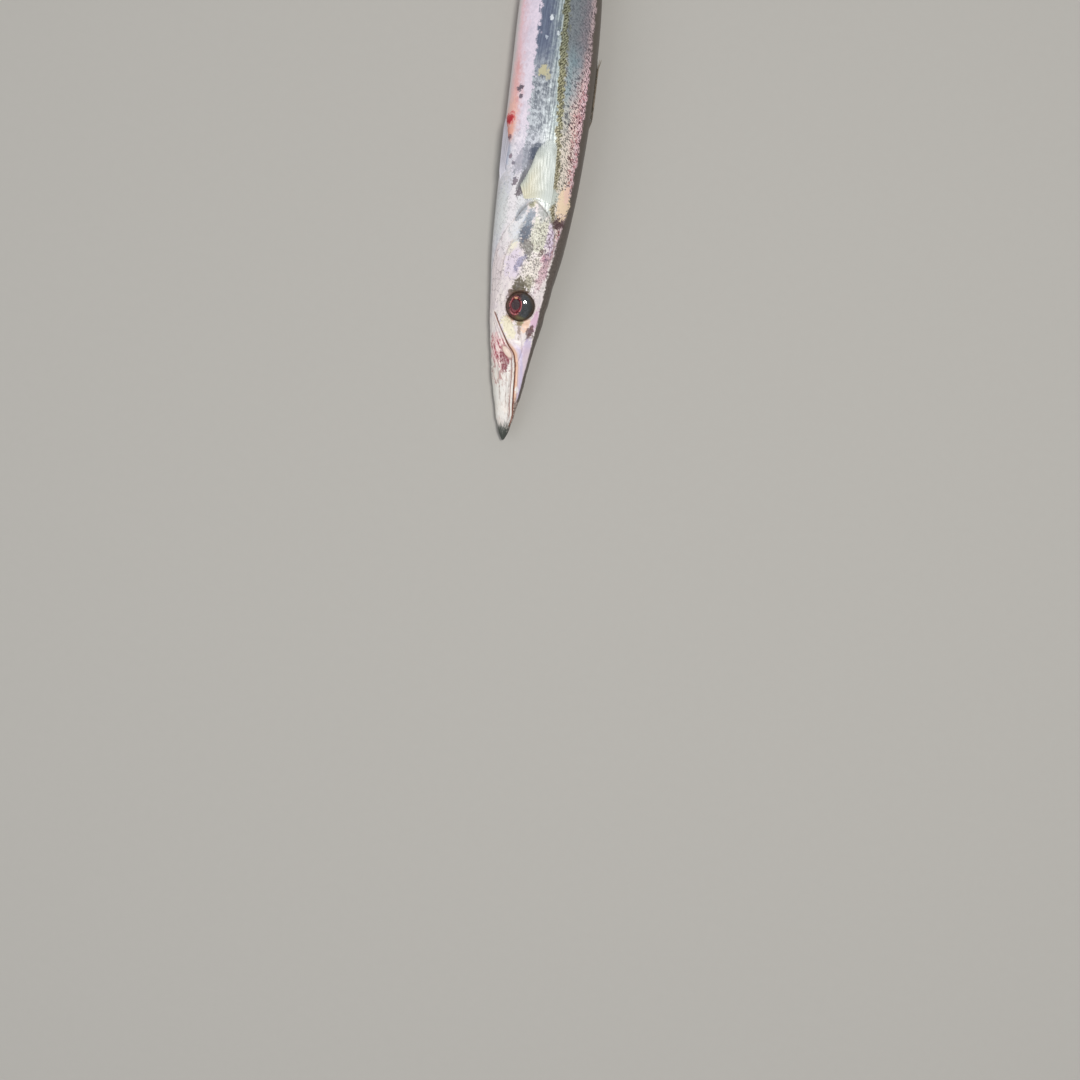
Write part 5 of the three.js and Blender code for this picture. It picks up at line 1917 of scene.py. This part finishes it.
class BARRACUDA_OT_lateral_line(bpy.types.Operator):
    """Adds the raised tubes along the lateral line"""
    bl_idname = "barracuda.lateral_line"
    bl_label = "Lateral line"

    def execute(self, context):
        make_lateral_line(context.scene.barracuda_sizes, flesh_material())
        return {"FINISHED"}


class BARRACUDA_OT_eyes(bpy.types.Operator):
    """Adds both eyes, each with a clear dome"""
    bl_idname = "barracuda.eyes"
    bl_label = "Eyes"

    def execute(self, context):
        iris = fresh("eye_iris", eye_finish, context.scene.barracuda_colours)
        clear = fresh("eye_dome", clear_finish)
        for name, side in (("right", 1), ("left", -1)):
            make_eye(name, side, iris, clear)
        return {"FINISHED"}


class BARRACUDA_OT_paired_fins(bpy.types.Operator):
    """Adds the folded pectoral and pelvic fins"""
    bl_idname = "barracuda.paired_fins"
    bl_label = "Pectoral and pelvic fins"

    def execute(self, context):
        colours = context.scene.barracuda_colours
        pectoral = fin_material(
            "pectoral_fin", colours.pectoral, ray=srgb(240, 242, 234), edge=srgb(196, 208, 204),
            clearness=0.4, far_side=srgb(242, 234, 204), bold=0.2, faded=0.75,
        )
        pelvic = fin_material(
            "pelvic_fin", srgb(216, 214, 226), ray=srgb(240, 236, 242), edge=srgb(204, 200, 210),
            clearness=0.35,
        )
        make_paired_fins(context.scene.barracuda_sizes, pectoral, pelvic)
        return {"FINISHED"}


class BARRACUDA_OT_first_dorsal(bpy.types.Operator):
    """Adds the folded spines of the first dorsal fin and their membrane"""
    bl_idname = "barracuda.first_dorsal"
    bl_label = "First dorsal fin"

    def execute(self, context):
        spine = fresh("back_spine", spine_finish)
        web = fin_material(
            "back_membrane", srgb(84, 78, 64), ray=srgb(96, 88, 72), edge=srgb(58, 52, 44), clearness=0.2,
        )
        make_first_dorsal(context.scene.barracuda_sizes, spine, web)
        return {"FINISHED"}


class BARRACUDA_OT_soft_fins(bpy.types.Operator):
    """Adds the second dorsal fin and the anal fin"""
    bl_idname = "barracuda.soft_fins"
    bl_label = "Second dorsal and anal fins"

    def execute(self, context):
        colour = context.scene.barracuda_colours.soft_fins
        web = fin_material(
            "soft_fin", colour, ray=srgb(150, 138, 98), edge=srgb(116, 110, 84), clearness=0.3,
        )
        make_soft_fins(context.scene.barracuda_sizes, web)
        return {"FINISHED"}


class BARRACUDA_OT_tail_fin(bpy.types.Operator):
    """Adds the forked tail fin"""
    bl_idname = "barracuda.tail_fin"
    bl_label = "Tail fin"

    def execute(self, context):
        colour = context.scene.barracuda_colours.soft_fins
        web = fin_material(
            "tail_fin", colour, ray=srgb(140, 128, 86), edge=srgb(84, 80, 62), clearness=0.22,
        )
        make_tail_fin(context.scene.barracuda_sizes, web)
        return {"FINISHED"}


PIECES = (
    BARRACUDA_OT_stage,
    BARRACUDA_OT_skin,
    BARRACUDA_OT_scales,
    BARRACUDA_OT_head_scales,
    BARRACUDA_OT_lateral_line,
    BARRACUDA_OT_eyes,
    BARRACUDA_OT_paired_fins,
    BARRACUDA_OT_first_dorsal,
    BARRACUDA_OT_soft_fins,
    BARRACUDA_OT_tail_fin,
)


class BARRACUDA_PT_pieces(bpy.types.Panel):
    """Lists the barracuda's pieces and its main sizes and colours"""
    bl_label = "Barracuda"
    bl_idname = "BARRACUDA_PT_pieces"
    bl_space_type = "VIEW_3D"
    bl_region_type = "UI"
    bl_category = "Barracuda"

    def draw(self, context):
        column = self.layout.column()
        for piece in PIECES:
            column.operator(piece.bl_idname)
        for group in (
            context.scene.barracuda_sizes, context.scene.barracuda_colours, context.scene.barracuda_light,
        ):
            for name in group.__annotations__:
                column.prop(group, name)


CLASSES = (BarracudaSizes, BarracudaColours, BarracudaLight) + PIECES + (BARRACUDA_PT_pieces,)


def register():
    """Adds the classes, and the sizes, colours and light to each scene."""
    for kind in CLASSES:
        bpy.utils.register_class(kind)
    bpy.types.Scene.barracuda_sizes = PointerProperty(type=BarracudaSizes)
    bpy.types.Scene.barracuda_colours = PointerProperty(type=BarracudaColours)
    bpy.types.Scene.barracuda_light = PointerProperty(type=BarracudaLight)


def unregister():
    """Takes away what register adds."""
    del bpy.types.Scene.barracuda_light
    del bpy.types.Scene.barracuda_colours
    del bpy.types.Scene.barracuda_sizes
    for kind in reversed(CLASSES):
        bpy.utils.unregister_class(kind)


def main():
    """Makes the fish and its stage piece by piece."""
    register()
    bpy.ops.barracuda.stage()
    bpy.ops.barracuda.skin()
    bpy.ops.barracuda.scales()
    bpy.ops.barracuda.head_scales()
    bpy.ops.barracuda.lateral_line()
    bpy.ops.barracuda.eyes()
    bpy.ops.barracuda.paired_fins()
    bpy.ops.barracuda.first_dorsal()
    bpy.ops.barracuda.soft_fins()
    bpy.ops.barracuda.tail_fin()


if __name__ == "__main__":
    main()
